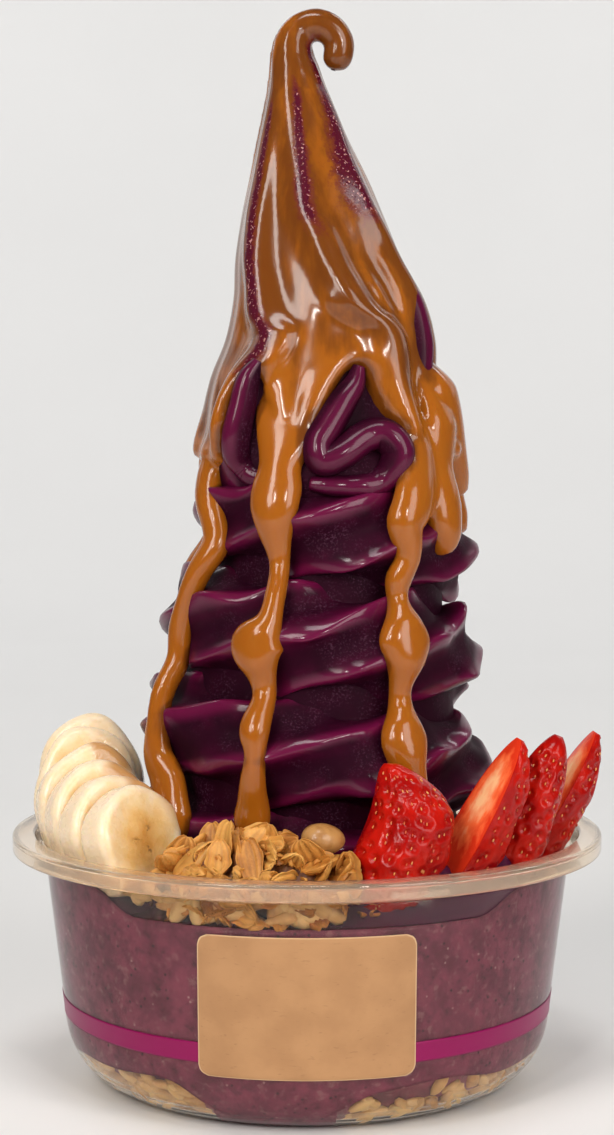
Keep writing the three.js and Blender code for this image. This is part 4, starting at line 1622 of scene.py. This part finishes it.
    def band_field(
        self, bands: Sequence[RidgeBand], rise: float, fall: float, height: Array, angle: Array
    ) -> Array:
        """Bands beside the ridge lines: a bell across each, eased in and out at its ends.

        Args:
            bands: The bands.
            rise: Height over which a band begins.
            fall: Height over which it ends.
            height: Heights on the peak.
            angle: Angles round it.

        Returns:
            1 in the middle of a band, 0 away from all.
        """
        total = np.zeros(np.broadcast_shapes(height.shape, angle.shape))
        for band in bands:
            across = (self.beside(band.ridge, height, angle) - band.aside) / band.width
            ends = ease(height, band.low, band.low + rise) * (1 - ease(height, band.high - fall, band.high))
            total = np.maximum(total, np.exp(-(across**2)) * ends)
        return total

    def fold_field(self, height: Array, angle: Array) -> Array:
        """Narrow folds of caramel that run down beside the ridge lines, 1 on their crests."""
        return self.band_field(self.folds, 6, 8, height, angle)

    def bare_field(self, height: Array, angle: Array) -> Array:
        """Streaks along the ridge lines where the caramel is down to a film, 1 in their middles."""
        return self.band_field(self.streaks, 9, 6, height, angle)

    def thickness(self, height: Array, angle: Array, ridge: Array) -> Array:
        """Depth of caramel on the peak: thin on the ridges, beaded along its lower edge, below 0 where bare.

        Args:
            height: Heights on the peak.
            angle: Angles round it.
            ridge: 1 on the ridges.

        Returns:
            The depth at each place.
        """
        table = np.array(self.edge)
        around = np.concatenate([table[:, 0] - 360, table[:, 0], table[:, 0] + 360])
        level = np.tile(table[:, 1], 3)
        fine = np.arange(-220, 221) * 1.0
        smooth = np.convolve(np.interp(fine, around, level), bell(2.5, 8), mode="same")
        place = np.degrees(wrapped(angle))
        across = np.radians(place[..., None] - fine) * self.edge_radius
        gap = np.sqrt(across**2 + (height[..., None] - smooth) ** 2).min(-1)
        above = gap * np.sign(height - np.interp(place, fine, smooth))
        body = self.coat * (1 + 0.9 * np.exp(-(((above - 3) / 3) ** 2)))
        body = body * (1 - 0.62 * ridge * ease(height, 128, 150) * (1 - ease(height, self.neck_z, 203)))
        sink = self.edge_sink
        rounding = np.sqrt(np.clip(1 - (above / sink - 1) ** 2, 0, 1))
        depth = np.where(above < sink, (body + sink) * rounding - sink, body)
        depth = np.where(above < 0, -sink + 0.1 * above, depth)
        bare = self.bare_field(height, angle)
        depth = np.where(depth > 0, depth * (1 - 0.85 * bare) + 0.75 * self.fold_field(height, angle), depth)
        half = np.interp(height, [132, self.window_z, 156], [4, 11, 7])
        window = (self.beside(2, height, angle) - 1) / half
        return depth - 2.4 * self.coat * np.exp(-(window**2) - ((height - self.window_z) / 7.5) ** 2)

    def peak(self) -> tuple[Surface, Surface]:
        """Rings across the spine: the acai's radius with its ridges, and the caramel's outside over it.

        Returns:
            The acai of the peak and the caramel coat.
        """
        middle, side, radius = self.spine()
        phi = ring(self.peak_cols)[None]
        height = middle[:, 2:3]
        curl = ease(np.arange(self.peak_rows)[:, None] / self.peak_rows, 0.56, 0.66)
        ridge = self.ridge_field(height, phi)
        relief = (self.crest * (ridge - 0.34)) * (1 - curl) * ease(height, 116, 132)
        body = (radius[:, None] - self.coat * (1 - 0.3 * curl)) * (1 + relief)
        depth = self.thickness(height, phi, ridge)
        flow = waves(xyz(3.2 * np.degrees(phi) / 10, height / 9, 0 * phi), 6.0, SEEDS.sauce_flow)
        depth = np.where(depth > 0, depth * (1 + 0.22 * flow * (1 - curl)), depth)
        depth = depth * (1 - curl) + self.coat * 0.7 * curl
        toward = side[:, None] * np.cos(phi)[..., None] + np.array([0, 1, 0]) * np.sin(phi)[..., None]
        # The lip value paints light on the ridge crests and shade between them.
        acai = tube(middle[:, None] + body[..., None] * toward, {"lip": -0.25 + 1.05 * ridge})
        sauce = tube(middle[:, None] + (body + depth)[..., None] * toward)
        return acai, sauce

    def laid(self, radius: Array, angle: Array, height: Array) -> tuple[Array, Array, Array]:
        """A line on the swirl with its directions to the side and away from the swirl.

        Args:
            radius: Distances from the swirl's axis.
            angle: Angles round it.
            height: Heights along it.

        Returns:
            Points of the line, directions to its side, and directions outward and square to it.
        """
        middle = polar(radius, angle, height, self.centre_x)
        run = unit(np.gradient(middle, axis=0))
        side = unit(np.cross(run, polar(np.ones_like(angle), angle, 0 * angle)))
        return middle, side, np.cross(side, run)

    def ribbon(self, path: Sequence[Triple], chart: RadiusMap, lift: float) -> Surface:
        """Round bead along a path of angle, height and radius, laid on the swirl's evened outside.

        Args:
            path: Degrees, height and radius along the bead.
            chart: Outside of the swirl.
            lift: How far the bead's middle stands out.

        Returns:
            The bead, with its lip value highest on the crest, painted light there and painted shade on its
            flanks.
        """
        line = spline(path, self.bead_rows)
        angle, height, size = np.radians(line[:, 0]), line[:, 1], line[:, 2]
        radius = chart.read(chart.evened(3, 3), angle, height) + lift
        middle, side, front = self.laid(radius, angle, height)
        beta = ring(self.bead_cols)[None]
        ends = np.sin(np.linspace(0.06, 0.94, self.bead_rows) * math.pi) ** 0.25
        spread = (size * ends)[:, None]
        rings = middle[:, None] + (1.1 * spread * np.cos(beta))[..., None] * side[:, None]
        rings = rings + (1.25 * spread * np.sin(beta))[..., None] * front[:, None]
        # Lip value: painted light on the crest, painted shade on the flanks.
        return tube(rings, {"lip": 0.3 + 0.5 * ease(np.sin(beta), 0.3, 1.0)})

    def drip(self, path: Sequence[Triple], chart: RadiusMap, evened: Array) -> Surface:
        """Domed runnel along a path of angle, height and half-width, its dome highest at its swollen end.

        Args:
            path: Degrees, height and half-width down the runnel.
            chart: Outside of the acai.
            evened: That outside with its hollows bridged.

        Returns:
            The runnel.
        """
        line = spline(path, self.drip_rows)
        angle, height, half = np.radians(line[:, 0]), line[:, 1], np.maximum(line[:, 2], 1.2)
        radius = chart.read(evened, angle, height)
        _, side, front = self.laid(radius, angle, height)
        beta = ring(self.drip_cols)[None]
        along = np.linspace(0, 1, self.drip_rows)
        close = np.sqrt(np.clip(1 - ((along - 0.94) / 0.06).clip(0, 1) ** 2, 0.02, 1))
        emerge = ease(along, 0.0, 0.24)
        tall = (0.62 * half + 0.9).clip(None, 3.4) * close * emerge
        wide = half * close * (0.45 + 0.55 * emerge)
        middle = polar(radius - self.drip_sink * (1 - emerge), angle, height, self.centre_x)
        dome = np.where(np.sin(beta) > 0, tall[:, None] * np.sin(beta), 2.6 * np.sin(beta))
        rings = middle[:, None] + (wide[:, None] * np.cos(beta))[..., None] * side[:, None]
        return tube(rings + dome[..., None] * front[:, None])

    def build(self) -> None:
        """Makes the acai of the swirl, then the caramel that lies on it."""
        rope = self.rope()
        peak, coat = self.peak()
        chart = RadiusMap(np.concatenate([rope.points, peak.points]), self.centre_x)
        ribbons = [self.ribbon(self.fold, chart, 0.9), self.ribbon(self.left_lip, chart, 0.4)]
        acai = merged([rope, self.core(), peak, *ribbons])
        dress(mesh_object("swirl_acai", acai), AcaiSwirl(), Slot.SWIRL, "soft_serve_swirl")
        chart = RadiusMap(acai.points, self.centre_x)
        evened = RadiusMap(acai.points, self.centre_x).bridged(8, 0.85).evened(3.2, 3)
        drips = [self.drip(path, chart, evened) for path in self.drips]
        sauce = mesh_object("swirl_sauce", merged([coat, *drips]))
        fused(sauce, self.sauce_voxel, self.sauce_rounds)
        self.mark_depth(sauce, chart)
        dress(sauce, CaramelSauce(), Slot.SWIRL, "soft_serve_swirl")

    def mark_depth(self, piece: Piece, chart: RadiusMap) -> None:
        """Stores how far each point of the caramel stands out from the acai, and where it is worn bare.

        Args:
            piece: The caramel.
            chart: Outside of the acai.
        """
        count = len(piece.data.vertices)
        flat = np.empty(count * 3, dtype=np.float32)
        piece.data.vertices.foreach_get("co", flat)
        points = flat.reshape(-1, 3).astype(float) / MM - [self.centre_x, 0, 0]
        under = chart.read(chart.evened(1, 1), np.arctan2(points[:, 1], points[:, 0]), points[:, 2])
        depth = np.hypot(points[:, 0], points[:, 1]) - under
        depth = np.where(points[:, 2] > self.neck_z, 1.0, depth)
        middle, _, _ = self.spine()
        climb = middle[:np.argmax(middle[:, 2])]
        axis = np.interp(points[:, 2], climb[:, 2], climb[:, 0]) - self.centre_x
        bare = self.bare_field(points[:, 2], np.arctan2(points[:, 1], points[:, 0] - axis))
        bare = np.where((points[:, 2] > self.curl_z) & (points[:, 0] > self.curl_x), 0, bare)
        store(piece.data, "depth", depth)
        store(piece.data, "bare", bare)


# Fruit


@dataclass
class BananaRow:
    """Banana slices standing in a row on the left, each leaning on the next."""

    thickness: float = 6.6
    bevel: float = 1.7
    path_radius: float = 44.0
    lean: float = math.radians(14)
    # Angle, height of the middle, width and tallness of each slice
    slices: tuple[tuple[float, float, float, float], ...] = (
        (-138, 51.8, 20, 21), (-147, 52.6, 20.4, 21.6), (-156, 53.6, 20.8, 23),
        (-165, 54.8, 21, 25), (-174, 56.4, 21, 27.6), (-183, 57.4, 21, 29),
    )
    cols: int = 96
    face_rows: int = 22
    # Angle, radius and height along the run of caramel
    glaze_path: Triples = (
        (-168, 40, 68), (-162, 38.5, 67), (-156, 38, 65), (-150, 37.4, 63), (-145, 36.6, 60),
        (-142, 35.6, 56),
    )
    glaze_reach: float = 7.0
    glazed: tuple[float, ...] = (0.6, 1.0, 1.0, 1.0, 0.5, 0.0)
    bulge: float = 2.2
    wall_limit: float = 51.3

    def glaze(self, points: Array) -> Array:
        """1 near the path where caramel has run over the slices, falling to 0 at its reach.

        Args:
            points: Points of a slice.

        Returns:
            The share at each point.
        """
        line = spline(self.glaze_path, 60)
        run = polar(line[:, 1], np.radians(line[:, 0]), line[:, 2])
        gap = np.linalg.norm(points[..., None, :] - run, axis=-1).min(-1)
        gap = gap + 0.8 * waves(points, 6, SEEDS.glaze_edge)
        return 1 - ease(gap, 0.35 * self.glaze_reach, self.glaze_reach)

    def slice(self, number: int) -> Surface:
        """Rings from the middle of one face, round the soft edge, to the middle of the other.

        Args:
            number: Which slice it is.

        Returns:
            The slice in its place.
        """
        angle, height, width, tall = self.slices[number]
        rng = np.random.default_rng(SEEDS.banana + number)
        turn = ring(self.cols)[None]
        lobes = 1 + 0.022 * np.cos(5 * turn + rng.uniform(0, TURN))
        lobes = lobes + 0.015 * np.cos(3 * turn + rng.uniform(0, TURN))
        face = np.linspace(0.04, 1, self.face_rows)
        corner = np.linspace(0, 1, 7)[1:] * math.pi / 2
        inset = self.bevel / (width / 2)
        front_share = np.concatenate([face * (1 - inset), 1 - inset + inset * np.sin(corner)])
        front_depth = np.concatenate([0 * face, self.bevel * (1 - np.cos(corner))])
        share = np.concatenate([front_share, front_share[::-1]])[:, None]
        half = self.thickness / 2
        depth = np.concatenate([half - front_depth, front_depth[::-1] - half])[:, None]
        x = width / 2 * share * lobes * np.cos(turn)
        y = tall / 2 * share * lobes * np.sin(turn)
        points = np.stack([x, y, depth + 0 * turn], -1)
        uneven = 0.14 * waves(points + 50 * number, 9, SEEDS.banana_face) * (1 - 0.5 * (share > 0.95))
        points[..., 2] += uneven * np.sign(points[..., 2])
        points[..., 2] *= 1 + points[..., 0] / self.path_radius
        star = np.exp(-(((share - 0.2) / 0.1) ** 2)) * np.clip(np.cos(3 * turn + number), 0, 1) ** 3
        out = np.concatenate([front_share, np.ones(1), front_share[::-1][1:]])[:, None] + 0 * turn
        placed = self.pressed(self.placed(points, math.radians(angle), height))
        glaze = self.glazed[number] * self.glaze(placed)
        outward = unit(placed - placed.mean((0, 1)))
        return tube(placed + 0.45 * glaze[..., None] * outward, {"out": out, "star": star, "glaze": glaze})

    def placed(self, points: Array, angle: float, height: float) -> Array:
        """Stands a slice on the ring path: its axis along the ring tilted up, its width outward.

        Args:
            points: The slice at the origin.
            angle: Its place on the ring.
            height: Height of its middle.

        Returns:
            The slice in its place.
        """
        outward = np.array([math.cos(angle), math.sin(angle), 0])
        along = np.array([-math.sin(angle), math.cos(angle), 0])
        up = np.array([0, 0, 1])
        axis = along * math.cos(self.lean) + up * math.sin(self.lean)
        rise = np.cross(axis, outward)
        rise = rise if rise[2] > 0 else -rise
        middle = outward * self.path_radius + up * height
        return middle + points @ np.stack([outward, rise, axis])

    def pressed(self, points: Array) -> Array:
        """Bulges the low outer shoulder of a slice out to the wall of the cup.

        Args:
            points: The slice in its place.

        Returns:
            The bulged slice.
        """
        radius = np.hypot(points[..., 0], points[..., 1])
        low = 1 - ease(points[..., 2], 43.5, 50)
        bulged = radius + self.bulge * ease(radius, 44, 49) * low
        wanted = np.minimum(bulged, np.maximum(radius, self.wall_limit))
        points[..., :2] *= (wanted / radius)[..., None]
        return points

    def build(self) -> None:
        """Makes the slices one by one."""
        for number in range(len(self.slices)):
            name = f"banana_{number + 1}"
            piece = mesh_object(name, self.slice(number))
            dress(piece, BananaFlesh(), Slot.BANANA, f"banana_slice_{number + 1}")


@dataclass(frozen=True)
class BerryPlace:
    """Where a strawberry half stands and how large it is."""

    base: Triple
    tip: Triple
    cut: Triple
    length: float
    width: float
    depth: float
    swell: float


@dataclass
class StrawberryFan:
    """Strawberry halves at the right, with their seeds."""

    halves: tuple[BerryPlace, ...] = (
        BerryPlace((13.8, -38.5, 40), (0.06, -0.02, 1), (-0.15, 0.97, 0.1), 28.2, 18, 9, -4.3),
        BerryPlace((22, -33.2, 40), (0.49, 0.06, 0.87), (-0.79, -0.45, 0.42), 36.4, 11.5, 9, 0),
        BerryPlace((35.6, -21.6, 40), (0.38, 0.02, 0.92), (-0.25, 1, 0), 33.4, 11.5, 6.6, 0),
        BerryPlace((38.7, -9, 40), (0.52, 0.01, 0.86), (-0.79, -0.26, 0.55), 35, 11, 7.5, 0),
    )
    rows: int = 72
    arc: int = 72
    face: int = 32
    seed_gap: float = 2.9
    seed_rows: int = 6
    seed_cols: int = 8
    crease: float = math.radians(55)

    def half_width(self, share: Array) -> Array:
        """Width of the berry along its length: blunt at the broad end, tapering to the tip."""
        taper = (1 - (0.985 * share) ** 4) ** 0.7
        return taper * (0.6 + 0.4 * np.sqrt(np.minimum(1, share / 0.4)))

    def skin(self, place: BerryPlace, share: Array, phi: Array) -> Array:
        """Points of the skin: half an ellipse of the berry's width and depth at each share of its length.

        Args:
            place: The half's place and sizes.
            share: Shares of its length.
            phi: Angles over the skin, 0 to pi.

        Returns:
            The points, in the half's own axes.
        """
        wide = self.half_width(share)
        x = place.width / 2 * wide * np.cos(phi) + self.sideways(place, share)
        y = place.depth * wide * np.sin(phi)
        return xyz(x, y, place.length * share)

    def sideways(self, place: BerryPlace, share: Array) -> Array:
        """How far the half swells to one side along its length."""
        return place.swell * np.sin(math.pi * np.clip(share, 0, 1) ** 1.7)

    def seeds(self, place: BerryPlace, number: int) -> tuple[Array, Array]:
        """Shares of length and angles of the seeds: staggered rows with a little jitter.

        Args:
            place: The half's place and sizes.
            number: Which half it is.

        Returns:
            The shares and the angles.
        """
        rng = np.random.default_rng(SEEDS.strawberry + number)
        rows = np.arange(0.08, 0.93, self.seed_gap * 0.82 / place.length)
        cols = np.arange(0.1, math.pi - 0.05, self.seed_gap / (place.width / 2))
        share, phi = np.meshgrid(rows, cols, indexing="ij")
        phi = phi + 0.5 * (cols[1] - cols[0]) * (np.arange(len(rows)) % 2)[:, None]
        share = share + rng.normal(0, 0.014, share.shape)
        phi = phi + rng.normal(0, 0.09, phi.shape)
        keep = (phi > 0.12) & (phi < math.pi - 0.12) & (self.half_width(share) > 0.3)
        return share[keep], phi[keep]

    def frame(self, place: BerryPlace) -> Array:
        """Axes of a half: across its cut, out of its skin, along its length.

        Args:
            place: The half's place and sizes.

        Returns:
            The axes, as rows.
        """
        along = unit(np.array(place.tip))
        skin = -unit(np.array(place.cut) - np.dot(place.cut, along) * along)
        return np.stack([np.cross(skin, along), skin, along])

    def half(self, place: BerryPlace, number: int) -> Surface:
        """Rings across the half: skin arc dimpled round each seed, then back over the domed cut face.

        Args:
            place: The half's place and sizes.
            number: Which half it is.

        Returns:
            The half, with its cut value 1 on the face and heart 1 in the face's middle.
        """
        share = np.linspace(0.004, 0.998, self.rows)[:, None]
        phi = np.linspace(0, math.pi, self.arc)[None]
        skin = self.skin(place, share, phi)
        spots = self.skin(place, *self.seeds(place, number))
        gap = np.linalg.norm(skin[:, :, None] - spots[None, None], axis=-1).min(-1)
        aside = self.sideways(place, share) + 0 * phi
        middle = np.stack([aside, 0.25 * place.depth + 0 * aside, skin[..., 2]], -1)
        outward = skin - middle
        outward /= np.maximum(np.linalg.norm(outward, axis=-1, keepdims=True), 1e-6)
        push = 0.2 * np.exp(-(((gap - 1.35) / 0.5) ** 2)) - 0.55 * np.exp(-((gap / 0.75) ** 2))
        push = push + 0.3 * waves(skin + 30 * number, 9, SEEDS.strawberry_skin)
        skin = skin + outward * (push * ease(np.sin(phi), 0.0, 0.25))[..., None]
        across = np.linspace(-1, 1, self.face + 2)[1:-1][None]
        wide = place.width / 2 * self.half_width(share)
        dome = -0.5 * (1 - across**2) * self.half_width(share)
        swell = self.sideways(place, share)
        face = xyz(wide * across + swell, dome, place.length * share)
        rings = np.concatenate([skin, face], 1)
        cut = np.concatenate([np.zeros(skin.shape[:2]), np.ones(face.shape[:2])], 1)
        deep = (1 - np.abs(across) ** 1.3) * ease(share, 0.25, 0.66) * (1 - ease(share, 0.72, 1.0))
        heart = np.concatenate([np.zeros(skin.shape[:2]), deep], 1)
        points = np.array(place.base) + rings @ self.frame(place)
        return tube(points, {"cut": cut, "heart": heart})

    def seed_grains(self, place: BerryPlace, number: int) -> Surface:
        """Small pointed grains lying in the dimples, their length along the berry.

        Args:
            place: The half's place and sizes.
            number: Which half it is.

        Returns:
            The grains.
        """
        share, phi = self.seeds(place, number)
        spot = self.skin(place, share, phi)
        ahead = self.skin(place, np.minimum(share + 0.02, 0.99), phi) - spot
        aside = self.skin(place, share, phi + 0.02) - spot
        face = np.cross(aside, ahead)
        inside = np.stack([self.sideways(place, share), 0 * share, spot[:, 2]], -1)
        face *= np.sign((face * (spot - inside)).sum(-1, keepdims=True))
        turn = frames(ahead, face)
        u = -np.cos(np.linspace(0.08, 0.92, self.seed_rows) * math.pi)[:, None]
        beta = ring(self.seed_cols)[None]
        body = np.sqrt(1 - u**2) * (1 - 0.25 * u)
        grain = xyz(0.34 * u, 0.15 * body * np.cos(beta), 0.18 * body * np.sin(beta))
        middle = spot - 0.22 * turn[..., 2]
        local = middle[:, None, None] + np.einsum("nij,abj->nabi", turn, grain)
        return tube(np.array(place.base) + local @ self.frame(place))

    def build(self) -> None:
        """Makes the halves, then all their seeds as one piece."""
        for number, place in enumerate(self.halves):
            piece = mesh_object(f"strawberry_half_{number + 1}", self.half(place, number), self.crease)
            dress(piece, StrawberryFlesh(), Slot.STRAWBERRY, f"strawberry_{number + 1}")
        grains = [self.seed_grains(place, number) for number, place in enumerate(self.halves)]
        dress(mesh_object("strawberry_seeds", merged(grains)), StrawberrySeed(), Slot.STRAWBERRY)


# Granola


@dataclass
class GranolaHeap:
    """Heap of granola at the front: a core under clusters of curled oat flakes, a nut and crumbs."""

    path_radius: float = 44.4
    from_angle: float = math.radians(-123)
    to_angle: float = math.radians(-81)
    middle_z: float = 46.4
    half_width: float = 6.4
    half_height: float = 7.6
    wall_limit: float = 51.3
    flakes_along: int = 11
    flakes_across: int = 7
    flake_leans: Pair = (-50.0, 158.0)
    flake_sizes: Pairs = ((7.5, 10.5), (4.6, 6.4), (0.9, 1.3))
    crumbs: int = 90
    crumb_sizes: Pairs = ((0.9, 2.2), (0.8, 1.5), (0.6, 1.0))
    sides: int = 48
    nut_room: float = 5.2
    nut_place: Triple = (3, -42, 54.6)

    def size_along(self, share: Array) -> Array:
        """How full the heap is along its length: rounded off at both ends."""
        return np.sqrt(np.clip(1 - (2 * share - 1) ** 2, 0, 1)) ** 0.7

    def core(self) -> Surface:
        """Ellipse carried along the heap's arc, drawn in at both ends and lumpy, toned dark brown as painted
        shade between the flakes.

        Returns:
            The core.
        """
        share = np.linspace(0.015, 0.985, 40)[:, None]
        turn = ring(self.sides)[None]
        full = 0.8 * self.size_along(share)
        radius = self.path_radius + self.half_width * full * np.cos(turn)
        height = self.middle_z + self.half_height * full * np.sin(turn)
        angle = self.from_angle + (self.to_angle - self.from_angle) * share
        points = polar(radius, angle, height)
        lumps = 0.5 * waves(points, 4, SEEDS.heap_core)
        points = polar(np.minimum(radius + lumps, self.wall_limit - 0.3), angle, height + lumps)
        # Painted shade: the core's tone and furrow shade are set dark where it shows between the flakes.
        return tube(points, {"tone": 0.9 + 0 * lumps, "furrow": 0.9 + 0 * lumps})

    def oats(self) -> Surface:
        """Flakes laid over the heap like petals on a jittered grid, pressed flat where they meet the wall.

        Returns:
            The flakes.
        """
        rng = np.random.default_rng(SEEDS.heap_oats)
        shares = np.linspace(0.03, 0.97, self.flakes_along)
        leans = np.linspace(*self.flake_leans, self.flakes_across)
        share, lean = (axis.ravel() for axis in np.meshgrid(shares, leans, indexing="ij"))
        share = np.clip(share + rng.normal(0, 0.03, share.shape), 0.02, 0.98)
        turn = np.radians(lean + rng.normal(0, 13, share.shape))
        full = self.size_along(share)
        angle = self.from_angle + (self.to_angle - self.from_angle) * share
        high = rng.uniform(0.84, 1.08, share.shape)
        radius = self.path_radius + self.half_width * full * np.cos(turn) * high
        height = self.middle_z + self.half_height * full * np.sin(turn) * high
        spot = polar(radius, angle, height)
        clear = np.linalg.norm(spot - np.array(self.nut_place), axis=1) > self.nut_room
        spot, turn, angle = spot[clear], turn[clear], angle[clear]
        count = len(spot)
        out = polar(np.cos(turn), angle, np.sin(turn))
        upright = (rng.uniform(size=count) < 0.3)[:, None]
        along = rng.normal(size=(count, 3)) + 1.6 * out * upright
        face = np.where(upright, rng.normal(size=(count, 3)), out + 0.42 * rng.normal(size=(count, 3)))
        size = drawn(rng, self.flake_sizes, count)
        rings, furrow = OatFlake().rings(size, rng.uniform(0.3, 1.2, count))
        points = spot[:, None, None] + np.einsum("nij,nabj->nabi", frames(along, face), rings)
        points = self.kept_inside(points)
        tone = rng.uniform(-0.1, 0.6, count)[:, None, None]
        return tube(points, {"tone": tone, "furrow": furrow})

    def kept_inside(self, points: Array) -> Array:
        """Pulls points beyond the wall in to it and those under the acai's top up a little.

        Args:
            points: Points of the flakes.

        Returns:
            The moved points.
        """
        radius = np.hypot(points[..., 0], points[..., 1])
        limit = self.wall_limit + 0.5 * ease(48.0 - points[..., 2], 0, 3)
        scale = np.minimum(1, limit / np.maximum(radius, 1e-6))
        points[..., :2] *= scale[..., None]
        points[..., 2] = np.maximum(points[..., 2], 39.6)
        return points

    def crumb_bits(self) -> Surface:
        """Small broken chips strewn on and beside the heap.

        Returns:
            The chips.
        """
        rng = np.random.default_rng(SEEDS.crumbs)
        angle = rng.uniform(math.radians(-128), math.radians(-70), self.crumbs)
        radius = rng.uniform(38, 49.5, self.crumbs)
        share = (angle - self.from_angle) / (self.to_angle - self.from_angle)
        over = np.clip(1 - ((radius - self.path_radius) / self.half_width) ** 2, 0, 1)
        inside = (share > 0) & (share < 1)
        top = np.where(inside, self.middle_z + self.half_height * np.sqrt(over) * self.size_along(share), 0)
        height = np.maximum(top, 41.4) + 0.2
        size = drawn(rng, self.crumb_sizes, self.crumbs)
        rings, furrow = OatFlake(5, 6).rings(size, np.full(self.crumbs, 0.4))
        turn = frames(rng.normal(size=(self.crumbs, 3)), rng.normal(size=(self.crumbs, 3)))
        points = polar(radius, angle, height)[:, None, None] + np.einsum("nij,nabj->nabi", turn, rings)
        tone = rng.uniform(0.1, 1, self.crumbs)[:, None, None]
        return tube(points, {"tone": tone, "furrow": furrow})

    def nut(self) -> Surface:
        """Kernel: rings along an egg-shaped body with a shallow groove down one side.

        Returns:
            The nut.
        """
        u = -np.cos(np.linspace(0.03, 0.97, 40) * math.pi)[:, None]
        turn = ring(self.sides)[None]
        body = np.sqrt(1 - u**2) * (1 - 0.1 * u)
        groove = 1 - 0.07 * np.exp(-((wrapped(turn - 1.1) / 0.22) ** 2))
        girth = body * groove
        local = xyz(4.1 * u, 3.3 * girth * np.cos(turn), 2.9 * girth * np.sin(turn))
        turned = frames(np.array([[0.95, 0.28, -0.12]]), np.array([[0.1, -0.2, 1.0]]))[0]
        return tube(np.array(self.nut_place) + local @ turned.T)

    def build(self) -> None:
        """Makes the core, the flakes, the crumbs and the nut."""
        heap = merged([self.core(), self.oats()])
        dress(mesh_object("granola_oats", heap), ToastedOats(), Slot.GRANOLA, "granola_heap")
        dress(mesh_object("granola_crumbs", self.crumb_bits()), ToastedOats(), Slot.GRANOLA)
        dress(mesh_object("roasted_nut", self.nut()), RoastedNut(), Slot.NUT, "nut")


# Studio


@dataclass(frozen=True)
class SoftBox:
    """One square studio light."""

    name: str
    place: Triple
    width: float
    height: float
    power: float
    tint: Colour = (1.0, 1.0, 1.0)
    aim: Triple = (0.0, 0.0, 0.1)


@dataclass
class Studio:
    """Backdrop, lights and camera."""

    camera_place: Triple = (0.0, -0.450, 0.12984)
    camera_dip: float = 0.0622
    lens: float = 71.33
    ambient: float = 0.1
    lights: tuple[SoftBox, ...] = (
        SoftBox("key_left", (-0.42, -0.62, 0.55), 0.2, 0.6, 3.9, (1.0, 0.96, 0.90)),
        SoftBox("spark_left", (-0.24, -0.72, 0.42), 0.05, 0.14, 1.05, (1.0, 0.97, 0.93)),
        SoftBox("spark_right", (0.27, -0.68, 0.38), 0.05, 0.14, 0.8, (1.0, 0.97, 0.93)),
        SoftBox("fill_right", (0.50, -0.56, 0.40), 0.34, 0.6, 3.3, (1.0, 0.97, 0.93)),
        SoftBox("rim_back_left", (-0.55, 0.35, 0.5), 0.25, 0.4, 0.25),
        SoftBox("rim_back_right", (0.55, 0.35, 0.45), 0.25, 0.4, 0.25),
        SoftBox("top", (-0.05, -0.30, 0.95), 0.3, 0.22, 2.0),
        SoftBox("wall_left", (-0.7, 0.75, 1.1), 0.6, 0.4, 5.5, (1.0, 1.0, 1.0), (-0.5, 1.5, 0.2)),
        SoftBox("wall_right", (0.7, 0.75, 1.1), 0.6, 0.4, 5.5, (1.0, 1.0, 1.0), (0.5, 1.5, 0.2)),
    )

    def backdrop(self) -> None:
        """A wide floor that sweeps up into a wall behind: straight, quarter circle, straight."""
        bend = np.linspace(0, math.pi / 2, 24)
        y = np.concatenate([[-3000], 900 + 600 * np.sin(bend), [1500]])
        z = np.concatenate([[0], 600 - 600 * np.cos(bend), [3000]]) - 0.2
        x = np.linspace(-4000, 4000, 9)
        points = xyz(x[None], y[:, None], z[:, None])
        index = np.arange(len(y) * len(x)).reshape(len(y), len(x))
        low, high = index[:-1], index[1:]
        quads = np.stack([low[:, :-1], low[:, 1:], high[:, 1:], high[:, :-1]], -1).reshape(-1, 4)
        floor = mesh_object("backdrop", Surface(points.reshape(-1, 3), quads, NO_TRIS))
        floor.data.materials.append(PaleFloor().material())

    def light(self, box: SoftBox) -> None:
        """Hangs one soft box and turns it to the object.

        Args:
            box: The light's place, size and power.
        """
        data = bpy.data.lights.new(box.name, "AREA")
        data.shape = "RECTANGLE"
        data.size = box.width
        data.size_y = box.height
        data.energy = box.power
        data.color = box.tint
        lamp = bpy.data.objects.new(box.name, data)
        way = Vector(box.aim) - Vector(box.place)
        lamp.rotation_euler = way.to_track_quat("-Z", "Y").to_euler()
        lamp.location = box.place
        bpy.context.scene.collection.objects.link(lamp)

    def camera(self) -> None:
        """Sets the camera level with the swirl, dipped a little."""
        data = bpy.data.cameras.new("camera")
        data.lens = self.lens
        eye = bpy.data.objects.new("camera", data)
        eye.location = self.camera_place
        eye.rotation_euler = (math.pi / 2 - self.camera_dip, 0, 0)
        bpy.context.scene.collection.objects.link(eye)
        bpy.context.scene.camera = eye

    def build(self) -> None:
        """Makes the backdrop, the even surround, the lights and the camera."""
        self.backdrop()
        world = bpy.data.worlds.new("surround")
        world.use_nodes = True
        sky = world.node_tree.nodes["Background"]
        sky.inputs["Color"].default_value = (1.0, 0.995, 0.985, 1.0)
        sky.inputs["Strength"].default_value = self.ambient
        bpy.context.scene.world = world
        for box in self.lights:
            self.light(box)
        self.camera()


def main() -> None:
    """Builds the cup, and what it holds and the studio."""
    logging.basicConfig(level=logging.INFO, format="%(message)s")
    bpy.context.scene.view_settings.view_transform = "Standard"
    cup = Cup()
    cup.build()
    Filling(cup).build()
    Swirl().build()
    BananaRow().build()
    StrawberryFan().build()
    GranolaHeap().build()
    Studio().build()


if __name__ == "__main__":
    main()
